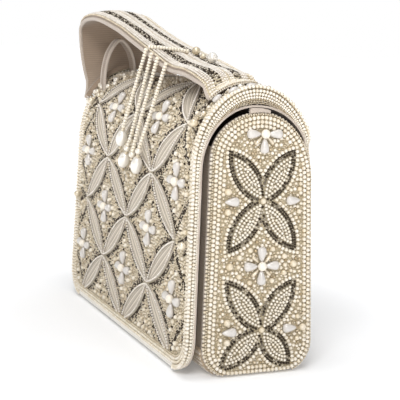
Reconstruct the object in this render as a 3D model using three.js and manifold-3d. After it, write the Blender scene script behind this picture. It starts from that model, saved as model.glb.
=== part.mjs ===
// A structured top-handle handbag covered in bead embroidery, in millimetres, +Z up.
// It stands on its base at z = 0. +X points to the right end panel, -Y to the flap's face.
// The origin is on the floor, midway along the bag and midway through the end panels.
import * as THREE from 'three';
import { mergeVertices } from 'three/addons/utils/BufferGeometryUtils.js';
import Module from 'manifold-3d';

const wasm = await Module();
wasm.setup();

// Body: the walls lean in a little from the floor to the arched top.
const LENGTH_AT_FLOOR = 255.6;
const LENGTH_AT_TOP = 236.7;
const DEPTH_AT_FLOOR = 78.4;
const DEPTH_AT_SPRING = 72.1;
const SPRING_Z = 134.8; // where the straight walls turn into the arch
const TOP_Z = 189.2;
const APEX_Y = -5.3;
const CLEARANCE = 0.4; // air between neighbouring pieces

// Fabric channel inside: front wall, base and back wall.
const WALL = 2.2;
const SHELL_INSET = 1.35; // the shell is this much shallower than the end panels, front and back
const SHELL_SHIFT = -0.55; // and sits this far towards the flap
const BASE_CORNER_R = 12;
const RIM_HEIGHT = 18; // padded rim along the foot of the front wall
const RIM_PROUD = 1.4;
const RIM_CORNER_R = 16;
const FRONT_WALL_TOP = 150;
const BACK_WALL_TOP = 132;

// End panels.
const PANEL_T = 6;
const PANEL_BEVEL = 1.6;
const PANEL_FRONT_CORNER_R = 20;
const PANEL_BACK_CORNER_R = 20;
const PANEL_TOP_Z = 172;
const PANEL_APEX_Y = -1.6;
const PANEL_FRONT_ARCH = 30; // height of the arch's front half
const PANEL_BACK_ARCH = 44;

// Cover: back, arched top and flap in one padded piece.
const FLAP_STANDOFF = 7.25; // air between the flap's lining and the end panels' front edge
const FLAP_T = 5.5;
const BACK_T = 3;
const APEX_T = 13.3;
const BACK_PROUD = 1.5; // how far the back stands behind the end panels
const FLAP_BOTTOM = 2.5;
const FLAP_CORNER_R = 24;
const BACK_BOTTOM = 13;
const BACK_NOTCH = [149, 158]; // height over which the back's ends step out over the panels

// Handle.
const HANDLE_T = 5;
const HANDLE_FOOT_T = 2.4; // flattened where the right foot is sewn down
const HANDLE_FOOT_PART = 0.14; // share of the handle's length over which it thickens
const HANDLE_STEPS = 30;
const HANDLE_COLUMNS = 5;
const FOOT_LIFT = 1; // air under the sewn feet

// The handle's sections, from its right foot to its left foot.
// x, y, z: front edge of the lining face. width, turn, drop: back edge from the front one,
// across the bag, towards the right end and down. crownX, crownZ: rise of the middle.
// rest: 1 where the strap lies on the cover.
const HANDLE_SECTIONS = [
  { x: 103.5, y: -31, z: 180, width: 31.5, turn: 0, drop: -3, crownX: 0, crownZ: 8, rest: 1 },
  { x: 97, y: -33.6, z: 186.6, width: 34.4, turn: 0, drop: -4, crownX: 0, crownZ: 4, rest: 0 },
  { x: 86, y: -35.8, z: 190.2, width: 37.8, turn: 0, drop: -0.3, crownX: 0, crownZ: 4, rest: 0 },
  { x: 70, y: -37.1, z: 193.2, width: 41, turn: 0, drop: 1, crownX: 0, crownZ: 2.5, rest: 0 },
  { x: 45, y: -37.9, z: 195.2, width: 45, turn: 0, drop: -0.8, crownX: 0, crownZ: 2.5, rest: 0 },
  { x: 0, y: -39.5, z: 206.7, width: 48, turn: 0, drop: 4.2, crownX: 0, crownZ: 2.5, rest: 0 },
  { x: -28, y: -41, z: 214.6, width: 48, turn: 0, drop: 7.2, crownX: 0, crownZ: 2.5, rest: 0 },
  { x: -48, y: -42, z: 220.3, width: 48, turn: 0, drop: 8.2, crownX: 0, crownZ: 2.5, rest: 0 },
  { x: -70, y: -43, z: 225, width: 48, turn: 0, drop: 7.4, crownX: 0, crownZ: 3, rest: 0 },
  { x: -90, y: -44, z: 228.6, width: 48, turn: 0, drop: 5.2, crownX: 0, crownZ: 3.5, rest: 0 },
  { x: -111, y: -44, z: 230, width: 47, turn: 0, drop: 0.5, crownX: -1, crownZ: 4, rest: 0 },
  { x: -132, y: -44, z: 228, width: 48, turn: 3, drop: -2, crownX: -3, crownZ: 3.5, rest: 0 },
  { x: -144, y: -43.5, z: 222.5, width: 55, turn: 13, drop: -2, crownX: -4, crownZ: 2.5, rest: 0 },
  { x: -146.5, y: -42.5, z: 213, width: 61, turn: 20, drop: -3, crownX: -4, crownZ: 0, rest: 0 },
  { x: -145, y: -42, z: 202, width: 66, turn: 26, drop: -4, crownX: -3, crownZ: 4, rest: 0 },
  { x: -140.5, y: -41.5, z: 191, width: 71, turn: 28, drop: -9, crownX: -2, crownZ: 7, rest: 0 },
  { x: -131, y: -41.5, z: 179.5, width: 72, turn: 22, drop: -14, crownX: 0, crownZ: 10, rest: 0 },
  { x: -117, y: -42, z: 169, width: 68, turn: 8, drop: -18, crownX: 0, crownZ: 12, rest: 1 },
];

// Keeper loop: a narrow strap bent over in a plane across the bag.
const LOOP_X = -106;
const LOOP_WIDTH = 10.5;
const LOOP_T = 2.6;
const LOOP_STEPS = 14;
const LOOP_PATH = [
  { y: -33.4, z: 168 },
  { y: -33.6, z: 184 },
  { y: -32.2, z: 195.5 },
  { y: -28.8, z: 205.6 },
  { y: -22.3, z: 213.2 },
  { y: -15.8, z: 207.2 },
  { y: -11.9, z: 198.4 },
  { y: -10.9, z: 190 },
  { y: -10.8, z: 183 },
];

// Tassel: strings of beads over the cover's shoulder, each ending in a pearl drop.
const STRAND_R = 1.6;
const STRAND_SIDES = 8;
const STRAND_STEPS = 14;
const STRAND_SHOULDER_Z = 151;
const STRAND_LIFT = 1.2; // air between a string and the face that it hangs over
const STRAND_SHOULDER_LIFT = 3.2; // more of it on the shoulder, over the flowers there
const STRAND_BEND = 0.1; // share of the slant that is left below the shoulder
const STRAND_BEND_MIN = 6; // a string that ends higher than this below the shoulder hangs straight
// lean: degrees by which the drop at the end hangs aslant. oval, round: the pearls that it has.
const STRANDS = [
  { topX: 10, endX: 1, endZ: 152.8, lean: 20, oval: true, round: false },
  { topX: 20, endX: 12, endZ: 140.7, lean: 33, oval: true, round: true },
  { topX: 31, endX: 22.5, endZ: 137.8, lean: 20, oval: false, round: true },
  { topX: 46, endX: 35.5, endZ: 141.7, lean: 19, oval: true, round: true },
];
const DROP_R = 4.3;
const DROP_LENGTH = 13;
const DROP_PEARL_R = 2.6;
const DROP_BEAD_R = 1.3;
const DROP_SIDES = 10;
const DROP_JOIN = 0.97; // a bead's share of its length that shows before the next one starts
const DROP_GAP = 0.9; // from a string's end to the leaning drop below it

// Wrap of beads across the handle, and the pearls at its end, by place along the handle.
const WRAP = { along: [0.284, 0.266], across: [0.02, 0.5] };
const HANDLE_PEARLS = [
  { along: 0.257, across: 0.57, r: 3.2 },
  { along: 0.238, across: 0.57, r: 2.3 },
  { along: 0.203, across: 0.58, r: 3.9 },
];

// Lattice of the flap: columns run from the right end to the left, rows from the top down.
const LATTICE_DX = 47.44;
const LATTICE_DS = 39;
const LATTICE_TOP_S = 164.2; // distance up the flap's face from the floor to row 0
const LATTICE_COLUMNS = 4;
const LATTICE_DX_Z = 100; // height at which the columns are LATTICE_DX apart; they spread with the bag
const FLAP_FLOWERS = [
  [1, 0], [3, 0], [0, 1], [4, 1], [1, 2], [3, 2], [0, 3], [2, 3], [4, 3],
];
const EDGE_PEARLS = [[-0.36, 0], [-0.42, 2], [4.28, 0], [4.36, 2]];
const EDGE_PEARL_R = 2.9;

// Flowers: flat-backed drops round a pearl, sewn on a small plate.
const FLOWER_DROP = { length: 9.6, width: 6, height: 3.4, inner: 3 };
const FLOWER_PEARL = { r: 3, height: 5.1 };
const FLOWER_PLATE = { r: 4.6, t: 0.9 };
const STONE_SIDES = 10;
const DROP_TAPER = 0.35;

// Heights of the end panels' ornaments, and how far out the side stones sit.
const PANEL_MIDDLE_FLOWER_Z = 72.6;
const PANEL_TOP_FLOWER_Z = 158.8;
const PANEL_CROSSINGS_Z = [115.2, 29.9];
const SIDE_STONE_Y = { front: -22.3, back: 22.3 };

// Tabs that tie the end panels' tops to the cover.
const TAB_WIDTH = 15;
const TAB_T = 3;
const TAB_INSET = 0.8; // from the bag's end
const TAB_SHIFT = -1; // from the panel's highest point

const FINISHES = {
  taupeFabric: { color: 0x9d9184, roughness: 0.9, metalness: 0 },
  creamFabric: { color: 0xd9cfc0, roughness: 0.85, metalness: 0 },
  beadwork: { color: 0xd8c9ac, roughness: 0.45, metalness: 0 },
  beadString: { color: 0xe6dcc2, roughness: 0.35, metalness: 0 },
  pearl: { color: 0xf0e8da, roughness: 0.2, metalness: 0 },
  whiteStone: { color: 0xf1f0ee, roughness: 0.15, metalness: 0 },
};

const lerp = THREE.MathUtils.lerp;
const smoothstep = THREE.MathUtils.smoothstep;

// Half the bag's length and depth at a height.
const halfLength = (z) => lerp(LENGTH_AT_FLOOR, LENGTH_AT_TOP, z / TOP_Z) / 2;
const halfDepth = (z) => lerp(DEPTH_AT_FLOOR, DEPTH_AT_SPRING, z / SPRING_Z) / 2;
const flapY = (z) => -(halfDepth(z) + FLAP_STANDOFF + FLAP_T);
const backY = (z) => halfDepth(z) + BACK_PROUD;

const group = new THREE.Group();

function add(name, geometry, finish, parent = group) {
  const mesh = new THREE.Mesh(geometry, new THREE.MeshStandardMaterial(FINISHES[finish]));
  mesh.name = name;
  parent.add(mesh);
  return mesh;
}

// Leaves only shared positions, so that the faces join into one closed skin.
function welded(geometry) {
  const bare = geometry.clone();
  bare.deleteAttribute('normal');
  bare.deleteAttribute('uv');
  const skin = mergeVertices(bare, 1e-3);
  skin.computeVertexNormals();
  return skin;
}

// Moves every vertex by a function of its place.
function reshaped(geometry, place) {
  const position = geometry.getAttribute('position');
  const vertex = new THREE.Vector3();
  for (let i = 0; i < position.count; i += 1) {
    vertex.fromBufferAttribute(position, i);
    const moved = place(vertex.x, vertex.y, vertex.z);
    position.setXYZ(i, moved.x, moved.y, moved.z);
  }
  return welded(geometry);
}

// A block of rows and columns whose corners a function places, each argument from 0 to 1.
function mappedBlock(across, along, place) {
  const block = new THREE.BoxGeometry(1, 1, 1, across, along, 1);
  return reshaped(block, (x, y, z) => place(x + 0.5, y + 0.5, z + 0.5));
}

function solid(geometry) {
  const skin = welded(geometry);
  const vertProperties = new Float32Array(skin.getAttribute('position').array);
  const triVerts = new Uint32Array(skin.index.array);
  return new wasm.Manifold(new wasm.Mesh({ numProp: 3, vertProperties, triVerts }));
}

function geometryOf(manifold) {
  const mesh = manifold.getMesh();
  const geometry = new THREE.BufferGeometry();
  geometry.setAttribute('position', new THREE.BufferAttribute(mesh.vertProperties, 3));
  geometry.setIndex(new THREE.BufferAttribute(mesh.triVerts, 1));
  geometry.computeVertexNormals();
  return geometry;
}

function fused(geometries) {
  const whole = geometries.map(solid).reduce((sum, next) => sum.add(next));
  return geometryOf(whole);
}

// One place on the cover's outer face: point and outward normal in the YZ plane, thickness.
function archPlace(angle) {
  const front = angle < Math.PI / 2;
  const reach = front ? APEX_Y - flapY(SPRING_Z) : backY(SPRING_Z) - APEX_Y;
  const rise = TOP_Z - SPRING_Z;
  const normal = new THREE.Vector2(-Math.cos(angle) / reach, Math.sin(angle) / rise).normalize();
  return {
    y: APEX_Y - reach * Math.cos(angle),
    z: SPRING_Z + rise * Math.sin(angle),
    ny: normal.x,
    nz: normal.y,
    t: lerp(front ? FLAP_T : BACK_T, APEX_T, Math.sin(angle) ** 2),
  };
}

function frontPlace(z) {
  return { y: flapY(z), z, ny: -1, nz: 0, t: FLAP_T };
}

function backPlace(z) {
  return { y: backY(z), z, ny: 1, nz: 0, t: BACK_T };
}

// The place on the arch above a depth y.
function topPlace(y) {
  const reach = y < APEX_Y ? APEX_Y - flapY(SPRING_Z) : backY(SPRING_Z) - APEX_Y;
  return archPlace(Math.acos(THREE.MathUtils.clamp((APEX_Y - y) / reach, -1, 1)));
}

// The place on the flap's face a given distance up from the floor.
function facePlace(distance) {
  if (distance <= SPRING_Z) return frontPlace(distance);
  let angle = 0;
  let climbed = SPRING_Z;
  let last = archPlace(0);
  const step = 0.005;
  while (climbed < distance) {
    angle += step;
    const next = archPlace(angle);
    climbed += Math.hypot(next.y - last.y, next.z - last.z);
    last = next;
  }
  return last;
}

// How far the cover's end lies inside the bag's length: rounded flap corners, notched back.
function coverInset(place) {
  const up = place.z - FLAP_BOTTOM;
  if (place.ny < 0 && up < FLAP_CORNER_R) {
    return FLAP_CORNER_R - Math.sqrt(FLAP_CORNER_R ** 2 - (FLAP_CORNER_R - up) ** 2);
  }
  if (place.ny > 0) {
    return (PANEL_T + CLEARANCE) * (1 - smoothstep(place.z, ...BACK_NOTCH));
  }
  return 0;
}

// Rows of the cover, from the flap's lower edge over the arch to the back's lower edge.
function coverRows() {
  const rows = [];
  const cornerRows = 6;
  for (let i = 0; i <= cornerRows; i += 1) {
    const turn = (i / cornerRows) * (Math.PI / 2);
    rows.push(frontPlace(FLAP_BOTTOM + FLAP_CORNER_R * (1 - Math.cos(turn))));
  }
  for (const part of [0.33, 0.67]) {
    rows.push(frontPlace(lerp(FLAP_BOTTOM + FLAP_CORNER_R, SPRING_Z, part)));
  }
  const archRows = 24;
  for (let i = 0; i <= archRows; i += 1) rows.push(archPlace((i / archRows) * Math.PI));
  for (const part of [0.5, 1]) rows.push(backPlace(lerp(SPRING_Z, BACK_BOTTOM, part)));
  return rows;
}

// Rounding of a padded edge: distance from the edge and share of the thickness left there.
const EDGE_ROUNDING = [
  { inset: 0, share: 0.4 },
  { inset: 0.2, share: 0.85 },
  { inset: 0.5, share: 1 },
];

// Half-widths from one rounded edge to the other, as [end (-1 or 1), inset, share].
function edgeStations() {
  const left = EDGE_ROUNDING.map((row) => ({ side: -1, ...row }));
  const right = EDGE_ROUNDING.map((row) => ({ side: 1, ...row })).reverse();
  return [...left, ...right];
}

// The cover; "grown" thickens its outer face for cutting neighbours clear of it.
function coverGeometry(grown = 0) {
  const rows = coverRows();
  const stations = edgeStations();
  return mappedBlock(stations.length - 1, rows.length - 1, (u, v, w) => {
    const row = rows[Math.round(v * (rows.length - 1))];
    const station = stations[Math.round(u * (stations.length - 1))];
    const atBottom = v === 0 || v === 1;
    const share = Math.min(station.share, atBottom ? 0.6 : 1);
    const middle = row.t / 2;
    const depth = middle + (w - 0.5) * row.t * share - row.t + (w > 0.5 ? grown : 0);
    const half = halfLength(row.z) - coverInset(row) - station.inset * row.t;
    return {
      x: station.side * half,
      y: row.y + row.ny * depth,
      z: row.z + row.nz * depth,
    };
  });
}

function bodyShellGeometry() {
  const half = halfDepth(0) - SHELL_INSET;
  const rimY = -half - RIM_PROUD;
  const rimR = RIM_CORNER_R;
  const corner = half - BASE_CORNER_R;
  const inner = BASE_CORNER_R - WALL;
  const shape = new THREE.Shape();
  shape.moveTo(-half, FRONT_WALL_TOP);
  shape.lineTo(-half, RIM_HEIGHT);
  shape.lineTo(rimY, RIM_HEIGHT);
  shape.lineTo(rimY, rimR);
  shape.absarc(rimY + rimR, rimR, rimR, Math.PI, 1.5 * Math.PI, false);
  shape.lineTo(corner, 0);
  shape.absarc(corner, BASE_CORNER_R, BASE_CORNER_R, 1.5 * Math.PI, 2 * Math.PI, false);
  shape.lineTo(half, BACK_WALL_TOP);
  shape.lineTo(half - WALL, BACK_WALL_TOP);
  shape.lineTo(half - WALL, BASE_CORNER_R);
  shape.absarc(corner, BASE_CORNER_R, inner, 2 * Math.PI, 1.5 * Math.PI, true);
  shape.lineTo(rimY + rimR, WALL);
  shape.absellipse(
    rimY + rimR, rimR, rimR - RIM_PROUD - WALL, rimR - WALL, 1.5 * Math.PI, Math.PI, true,
  );
  shape.lineTo(-half + WALL, FRONT_WALL_TOP);
  shape.closePath();
  const extruded = new THREE.ExtrudeGeometry(shape, {
    depth: 1,
    bevelEnabled: false,
    curveSegments: 6,
  });
  return reshaped(extruded, (y, z, along) => ({
    x: (2 * along - 1) * (halfLength(z) - PANEL_T - CLEARANCE),
    y: SHELL_SHIFT + (y * halfDepth(z)) / halfDepth(0),
    z,
  }));
}

// Height of an end panel's arch above a depth y.
function panelTopZ(y) {
  const front = y < PANEL_APEX_Y;
  const reach = halfDepth(SPRING_Z) + (front ? PANEL_APEX_Y : -PANEL_APEX_Y);
  const rise = front ? PANEL_FRONT_ARCH : PANEL_BACK_ARCH;
  const part = Math.min(1, Math.abs(y - PANEL_APEX_Y) / reach);
  return PANEL_TOP_Z - rise * (1 - Math.sqrt(1 - part ** 2));
}

// Outline of an end panel in (y, z): leaning sides, round lower corners, uneven arch.
function panelShape(margin) {
  const frontR = PANEL_FRONT_CORNER_R - margin;
  const backR = PANEL_BACK_CORNER_R - margin;
  const floorHalf = halfDepth(0) - margin;
  const springHalf = halfDepth(SPRING_Z) - margin;
  const shape = new THREE.Shape();
  shape.moveTo(-floorHalf + frontR, margin);
  shape.lineTo(floorHalf - backR, margin);
  shape.absarc(floorHalf - backR, margin + backR, backR, -Math.PI / 2, 0, false);
  shape.absellipse(
    PANEL_APEX_Y, PANEL_TOP_Z - PANEL_BACK_ARCH,
    springHalf - PANEL_APEX_Y, PANEL_BACK_ARCH - margin,
    0, Math.PI / 2, false,
  );
  shape.absellipse(
    PANEL_APEX_Y, PANEL_TOP_Z - PANEL_FRONT_ARCH,
    springHalf + PANEL_APEX_Y, PANEL_FRONT_ARCH - margin,
    Math.PI / 2, Math.PI, false,
  );
  shape.absarc(-floorHalf + frontR, margin + frontR, frontR, Math.PI, 1.5 * Math.PI, false);
  return shape;
}

function endPanelGeometry() {
  const extruded = new THREE.ExtrudeGeometry(panelShape(PANEL_BEVEL), {
    depth: PANEL_T - 2 * PANEL_BEVEL,
    bevelThickness: PANEL_BEVEL,
    bevelSize: PANEL_BEVEL,
    bevelSegments: 2,
    curveSegments: 7,
  });
  return reshaped(extruded, (y, z, d) => ({
    x: halfLength(z) - PANEL_T + PANEL_BEVEL + d,
    y,
    z,
  }));
}

function tabGeometry() {
  const at = PANEL_APEX_Y + TAB_SHIFT;
  const inner = (y) => {
    const place = topPlace(y);
    return place.z - place.t / place.nz;
  };
  const outX = halfLength(PANEL_TOP_Z) - TAB_INSET;
  return mappedBlock(1, 6, (u, v, w) => {
    const y = at + (v - 0.5) * TAB_WIDTH;
    const low = panelTopZ(y) + CLEARANCE;
    const high = inner(y) - CLEARANCE;
    return { x: outX - (1 - u) * TAB_T, y, z: lerp(low, high, w) };
  });
}

// A padded strap between two edge curves, bowed by a crown and thick along its own normal.
function strapPlaces(front, back, crown) {
  const surface = (u, v) => {
    const rise = crown(v).multiplyScalar(4 * u * (1 - u));
    return front(v).lerp(back(v), u).add(rise);
  };
  const step = 1e-3;
  return (u, v) => {
    const across = surface(Math.min(1, u + step), v).sub(surface(Math.max(0, u - step), v));
    const along = surface(u, Math.min(1, v + step)).sub(surface(u, Math.max(0, v - step)));
    return { point: surface(u, v), normal: across.cross(along).normalize() };
  };
}

// thickness: a function of the place along the strap.
function strapGeometry(places, width, thickness, steps, innerColumns) {
  const stations = edgeStations().map(({ side, inset, share }) => {
    const part = (inset * thickness(0.5)) / width;
    return { u: side < 0 ? part : 1 - part, share };
  });
  const half = stations.length / 2;
  for (let i = 1; i <= innerColumns; i += 1) {
    const part = lerp(stations[half - 1].u, 1 - stations[half - 1].u, i / (innerColumns + 1));
    stations.splice(half + i - 1, 0, { u: part, share: 1 });
  }
  return mappedBlock(stations.length - 1, steps, (u, v, w) => {
    const station = stations[Math.round(u * (stations.length - 1))];
    const { point, normal } = places(station.u, v);
    return point.addScaledVector(normal, thickness(v) * (0.5 + (w - 0.5) * station.share));
  });
}

// The handle's edges and crown as smooth curves through its sections.
function handlePlaces() {
  const curve = (of) => new THREE.CatmullRomCurve3(HANDLE_SECTIONS.map(of));
  const front = curve((s) => new THREE.Vector3(s.x, s.y, s.z));
  const back = curve((s) => new THREE.Vector3(s.x + s.turn, s.y + s.width, s.z - s.drop));
  const crown = curve((s) => new THREE.Vector3(s.crownX, 0, s.crownZ));
  const rest = curve((s) => new THREE.Vector3(s.rest, 0, 0));
  const free = strapPlaces((v) => front.getPoint(v), (v) => back.getPoint(v), (v) => crown.getPoint(v));
  const lifted = (point, height) => {
    const place = topPlace(point.y);
    const y = point.y + place.ny * height;
    return new THREE.Vector3(point.x, y, place.z + place.nz * height);
  };
  return (u, v) => {
    const place = free(u, v);
    const lying = THREE.MathUtils.clamp(rest.getPoint(v).x, 0, 1);
    const faceDown = v > 0.5;
    const height = FOOT_LIFT + (faceDown ? HANDLE_T : 0);
    const onCover = topPlace(place.point.y);
    const coverNormal = new THREE.Vector3(0, onCover.ny, onCover.nz);
    if (faceDown) coverNormal.negate();
    place.point.lerp(lifted(place.point, height), lying);
    place.normal.lerp(coverNormal, lying).normalize();
    return place;
  };
}

function keeperLoopGeometry() {
  const edge = (x) => new THREE.CatmullRomCurve3(
    LOOP_PATH.map((p) => new THREE.Vector3(x, p.y, p.z)),
  );
  const left = edge(LOOP_X - LOOP_WIDTH / 2);
  const right = edge(LOOP_X + LOOP_WIDTH / 2);
  const flat = () => new THREE.Vector3();
  const places = strapPlaces((v) => left.getPoint(v), (v) => right.getPoint(v), flat);
  const whole = solid(strapGeometry(places, LOOP_WIDTH, () => LOOP_T, LOOP_STEPS, 0));
  return geometryOf(whole.subtract(solid(coverGeometry(CLEARANCE))));
}

// A tube through points, with flat ends.
function stringGeometry(points, radius, steps) {
  const section = new THREE.Shape();
  for (let i = 0; i < STRAND_SIDES; i += 1) {
    const turn = (i / STRAND_SIDES) * 2 * Math.PI;
    const corner = [radius * Math.cos(turn), radius * Math.sin(turn)];
    if (i === 0) section.moveTo(...corner);
    else section.lineTo(...corner);
  }
  const extrudePath = new THREE.CatmullRomCurve3(points);
  return welded(new THREE.ExtrudeGeometry(section, { steps, extrudePath }));
}

// Round bodies on one axis: profile from the bottom up, closed on the axis.
function tasselDropGeometry(oval, round) {
  const profile = [new THREE.Vector2(0, 0)];
  let top = 0;
  const bead = (r, length, rows) => {
    for (let i = 1; i < rows; i += 1) {
      const turn = (i / rows) * Math.PI;
      const y = top + (length / 2) * (1 - Math.cos(turn));
      profile.push(new THREE.Vector2(r * Math.sin(turn), y));
    }
    top += length * DROP_JOIN;
  };
  bead(DROP_BEAD_R, 2 * DROP_BEAD_R, 3);
  if (oval) {
    bead(DROP_R, DROP_LENGTH, 7);
    bead(DROP_BEAD_R, 2 * DROP_BEAD_R, 3);
  }
  if (round) bead(DROP_PEARL_R, 2 * DROP_PEARL_R, 5);
  profile.push(new THREE.Vector2(0, top));
  const lathe = new THREE.LatheGeometry(profile, DROP_SIDES).rotateX(Math.PI / 2);
  return { geometry: welded(lathe), height: top };
}

// A flat-backed dome, round or drawn out to a point along +X.
function dome(length, width, height, taper) {
  const profile = [
    new THREE.Vector2(0, 0),
    new THREE.Vector2(1, 0),
    new THREE.Vector2(0.72, 0.74),
    new THREE.Vector2(0, 1),
  ];
  const lathe = new THREE.LatheGeometry(profile, STONE_SIDES).rotateX(Math.PI / 2);
  return reshaped(lathe, (x, y, z) => ({
    x: (x * length) / 2,
    y: ((y * width) / 2) * (1 + taper * x),
    z: z * height,
  }));
}

function flowerGeometry(turns) {
  const plate = new THREE.CylinderGeometry(FLOWER_PLATE.r, FLOWER_PLATE.r, FLOWER_PLATE.t, STONE_SIDES);
  plate.rotateX(Math.PI / 2).translate(0, 0, FLOWER_PLATE.t / 2);
  const { length, width, height, inner } = FLOWER_DROP;
  const drops = turns.map((turn) => {
    const drop = dome(length, width, height, DROP_TAPER);
    return drop.translate(inner + length / 2, 0, 0).rotateZ(turn);
  });
  const pearl = dome(2 * FLOWER_PEARL.r, 2 * FLOWER_PEARL.r, FLOWER_PEARL.height, 0);
  return fused([plate, ...drops, pearl]);
}

// Stands a piece on a surface: its own +Z along the outward normal, its +Y as upright as can be.
function standOn(mesh, point, normal, turn = 0) {
  const right = new THREE.Vector3(0, 0, 1).cross(normal).normalize();
  const up = normal.clone().cross(right);
  const basis = new THREE.Matrix4().makeBasis(right, up, normal);
  mesh.quaternion.setFromRotationMatrix(basis);
  mesh.rotateZ(turn);
  mesh.position.copy(point).addScaledVector(normal, CLEARANCE);
}

// A place of the flap's lattice in space.
function latticePlace(column, row) {
  const place = facePlace(LATTICE_TOP_S - row * LATTICE_DS);
  const spread = halfLength(place.z) / halfLength(LATTICE_DX_Z);
  const x = (LATTICE_COLUMNS / 2 - column) * LATTICE_DX * spread;
  const lean = (flapY(0) - flapY(SPRING_Z)) / SPRING_Z;
  const normal = new THREE.Vector3(0, place.ny, place.nz === 0 ? -lean : place.nz).normalize();
  return { point: new THREE.Vector3(x, place.y, place.z), normal };
}

// A place on the right end panel's face.
function panelPlace(y, z) {
  const lean = (LENGTH_AT_FLOOR - LENGTH_AT_TOP) / 2 / TOP_Z;
  const normal = new THREE.Vector3(1, 0, lean).normalize();
  return { point: new THREE.Vector3(halfLength(z), y, z), normal };
}

function pearlGeometry(r) {
  return welded(new THREE.SphereGeometry(r, STONE_SIDES, 6));
}

add('body_shell', bodyShellGeometry(), 'taupeFabric');
add('cover_flap', coverGeometry(), 'beadwork');
add('keeper_loop', keeperLoopGeometry(), 'taupeFabric');

const onHandle = handlePlaces();
const handleWidth = Math.max(...HANDLE_SECTIONS.map((section) => section.width));
const handleThickness = (v) => lerp(HANDLE_FOOT_T, HANDLE_T, smoothstep(v, 0, HANDLE_FOOT_PART));
add(
  'handle',
  strapGeometry(onHandle, handleWidth, handleThickness, HANDLE_STEPS, HANDLE_COLUMNS),
  'beadwork',
);

// The two ends are mirror images of each other.
const CROSS = [0, 0.5, 1, 1.5].map((turn) => turn * Math.PI);
for (const label of ['right', 'left']) {
  const end = new THREE.Group();
  end.scale.x = label === 'left' ? -1 : 1;
  group.add(end);
  add(`end_panel_${label}`, endPanelGeometry(), 'beadwork', end);
  add(`top_tab_${label}`, tabGeometry(), 'creamFabric', end);
  const middle = panelPlace(0, PANEL_MIDDLE_FLOWER_Z);
  const middleFlower = add(`end_flower_${label}_middle`, flowerGeometry(CROSS), 'whiteStone', end);
  standOn(middleFlower, middle.point, middle.normal);
  const top = panelPlace(0, PANEL_TOP_FLOWER_Z);
  const topTurns = CROSS.filter((turn) => turn !== Math.PI / 2);
  const topFlower = add(`end_flower_${label}_top`, flowerGeometry(topTurns), 'whiteStone', end);
  standOn(topFlower, top.point, top.normal);
  PANEL_CROSSINGS_Z.forEach((z, level) => {
    for (const [edge, y] of Object.entries(SIDE_STONE_Y)) {
      const { point, normal } = panelPlace(y, z);
      const drop = dome(FLOWER_DROP.length, FLOWER_DROP.width, FLOWER_DROP.height, DROP_TAPER);
      const stone = add(`side_stone_${label}_${level + 1}_${edge}`, drop, 'whiteStone', end);
      standOn(stone, point, normal, y > 0 ? Math.PI : 0);
    }
  });
}

FLAP_FLOWERS.forEach(([column, row], i) => {
  const { point, normal } = latticePlace(column, row);
  standOn(add(`flap_flower_${i + 1}`, flowerGeometry(CROSS), 'whiteStone'), point, normal);
});

EDGE_PEARLS.forEach(([column, row], i) => {
  const { point, normal } = latticePlace(column, row);
  const pearl = add(`edge_pearl_${i + 1}`, pearlGeometry(EDGE_PEARL_R), 'pearl');
  pearl.position.copy(point).addScaledVector(normal, EDGE_PEARL_R + CLEARANCE);
});

// The handle's front edge at a place along the bag, found by halving.
function handleFrontEdge(x) {
  let low = 0;
  let high = 0.5;
  for (let i = 0; i < 30; i += 1) {
    const middle = (low + high) / 2;
    if (onHandle(0, middle).point.x > x) low = middle;
    else high = middle;
  }
  return onHandle(0, low).point;
}

STRANDS.forEach(({ topX, endX, endZ, lean, oval, round }, i) => {
  const edge = handleFrontEdge(topX);
  const away = STRAND_R + STRAND_LIFT;
  const top = new THREE.Vector3(topX, edge.y - away, edge.z + HANDLE_T);
  const end = new THREE.Vector3(endX, flapY(SPRING_Z) - DROP_R - STRAND_LIFT, endZ);
  const shoulder = facePlace(STRAND_SHOULDER_Z);
  const over = STRAND_R + STRAND_SHOULDER_LIFT;
  const bent = new THREE.Vector3(lerp(endX, topX, STRAND_BEND), shoulder.y - over, shoulder.z);
  const points = endZ < STRAND_SHOULDER_Z - STRAND_BEND_MIN ? [top, bent, end] : [top, end];
  add(`tassel_strand_${i + 1}`, stringGeometry(points, STRAND_R, STRAND_STEPS), 'beadString');
  const { geometry, height } = tasselDropGeometry(oval, round);
  const drop = add(`tassel_drop_${i + 1}`, geometry, 'pearl');
  drop.rotateY(THREE.MathUtils.degToRad(lean));
  drop.position.copy(end);
  drop.translateZ(-height - DROP_GAP);
});

const wrapPoints = [];
const wrapSteps = 6;
for (let i = 0; i <= wrapSteps; i += 1) {
  const part = i / wrapSteps;
  const { point, normal } = onHandle(lerp(...WRAP.across, part), lerp(...WRAP.along, part));
  wrapPoints.push(point.addScaledVector(normal, HANDLE_T + STRAND_R + CLEARANCE));
}
add('tassel_wrap', stringGeometry(wrapPoints, STRAND_R, STRAND_STEPS), 'beadString');

HANDLE_PEARLS.forEach(({ along, across, r }, i) => {
  const { point, normal } = onHandle(across, along);
  const pearl = add(`handle_pearl_${i + 1}`, pearlGeometry(r), 'pearl');
  pearl.position.copy(point).addScaledVector(normal, HANDLE_T + r + CLEARANCE);
});

export default group;
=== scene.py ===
"""Dresses a structured top-handle handbag in cloth, cords, seed beads, pearls and drops."""

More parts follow.
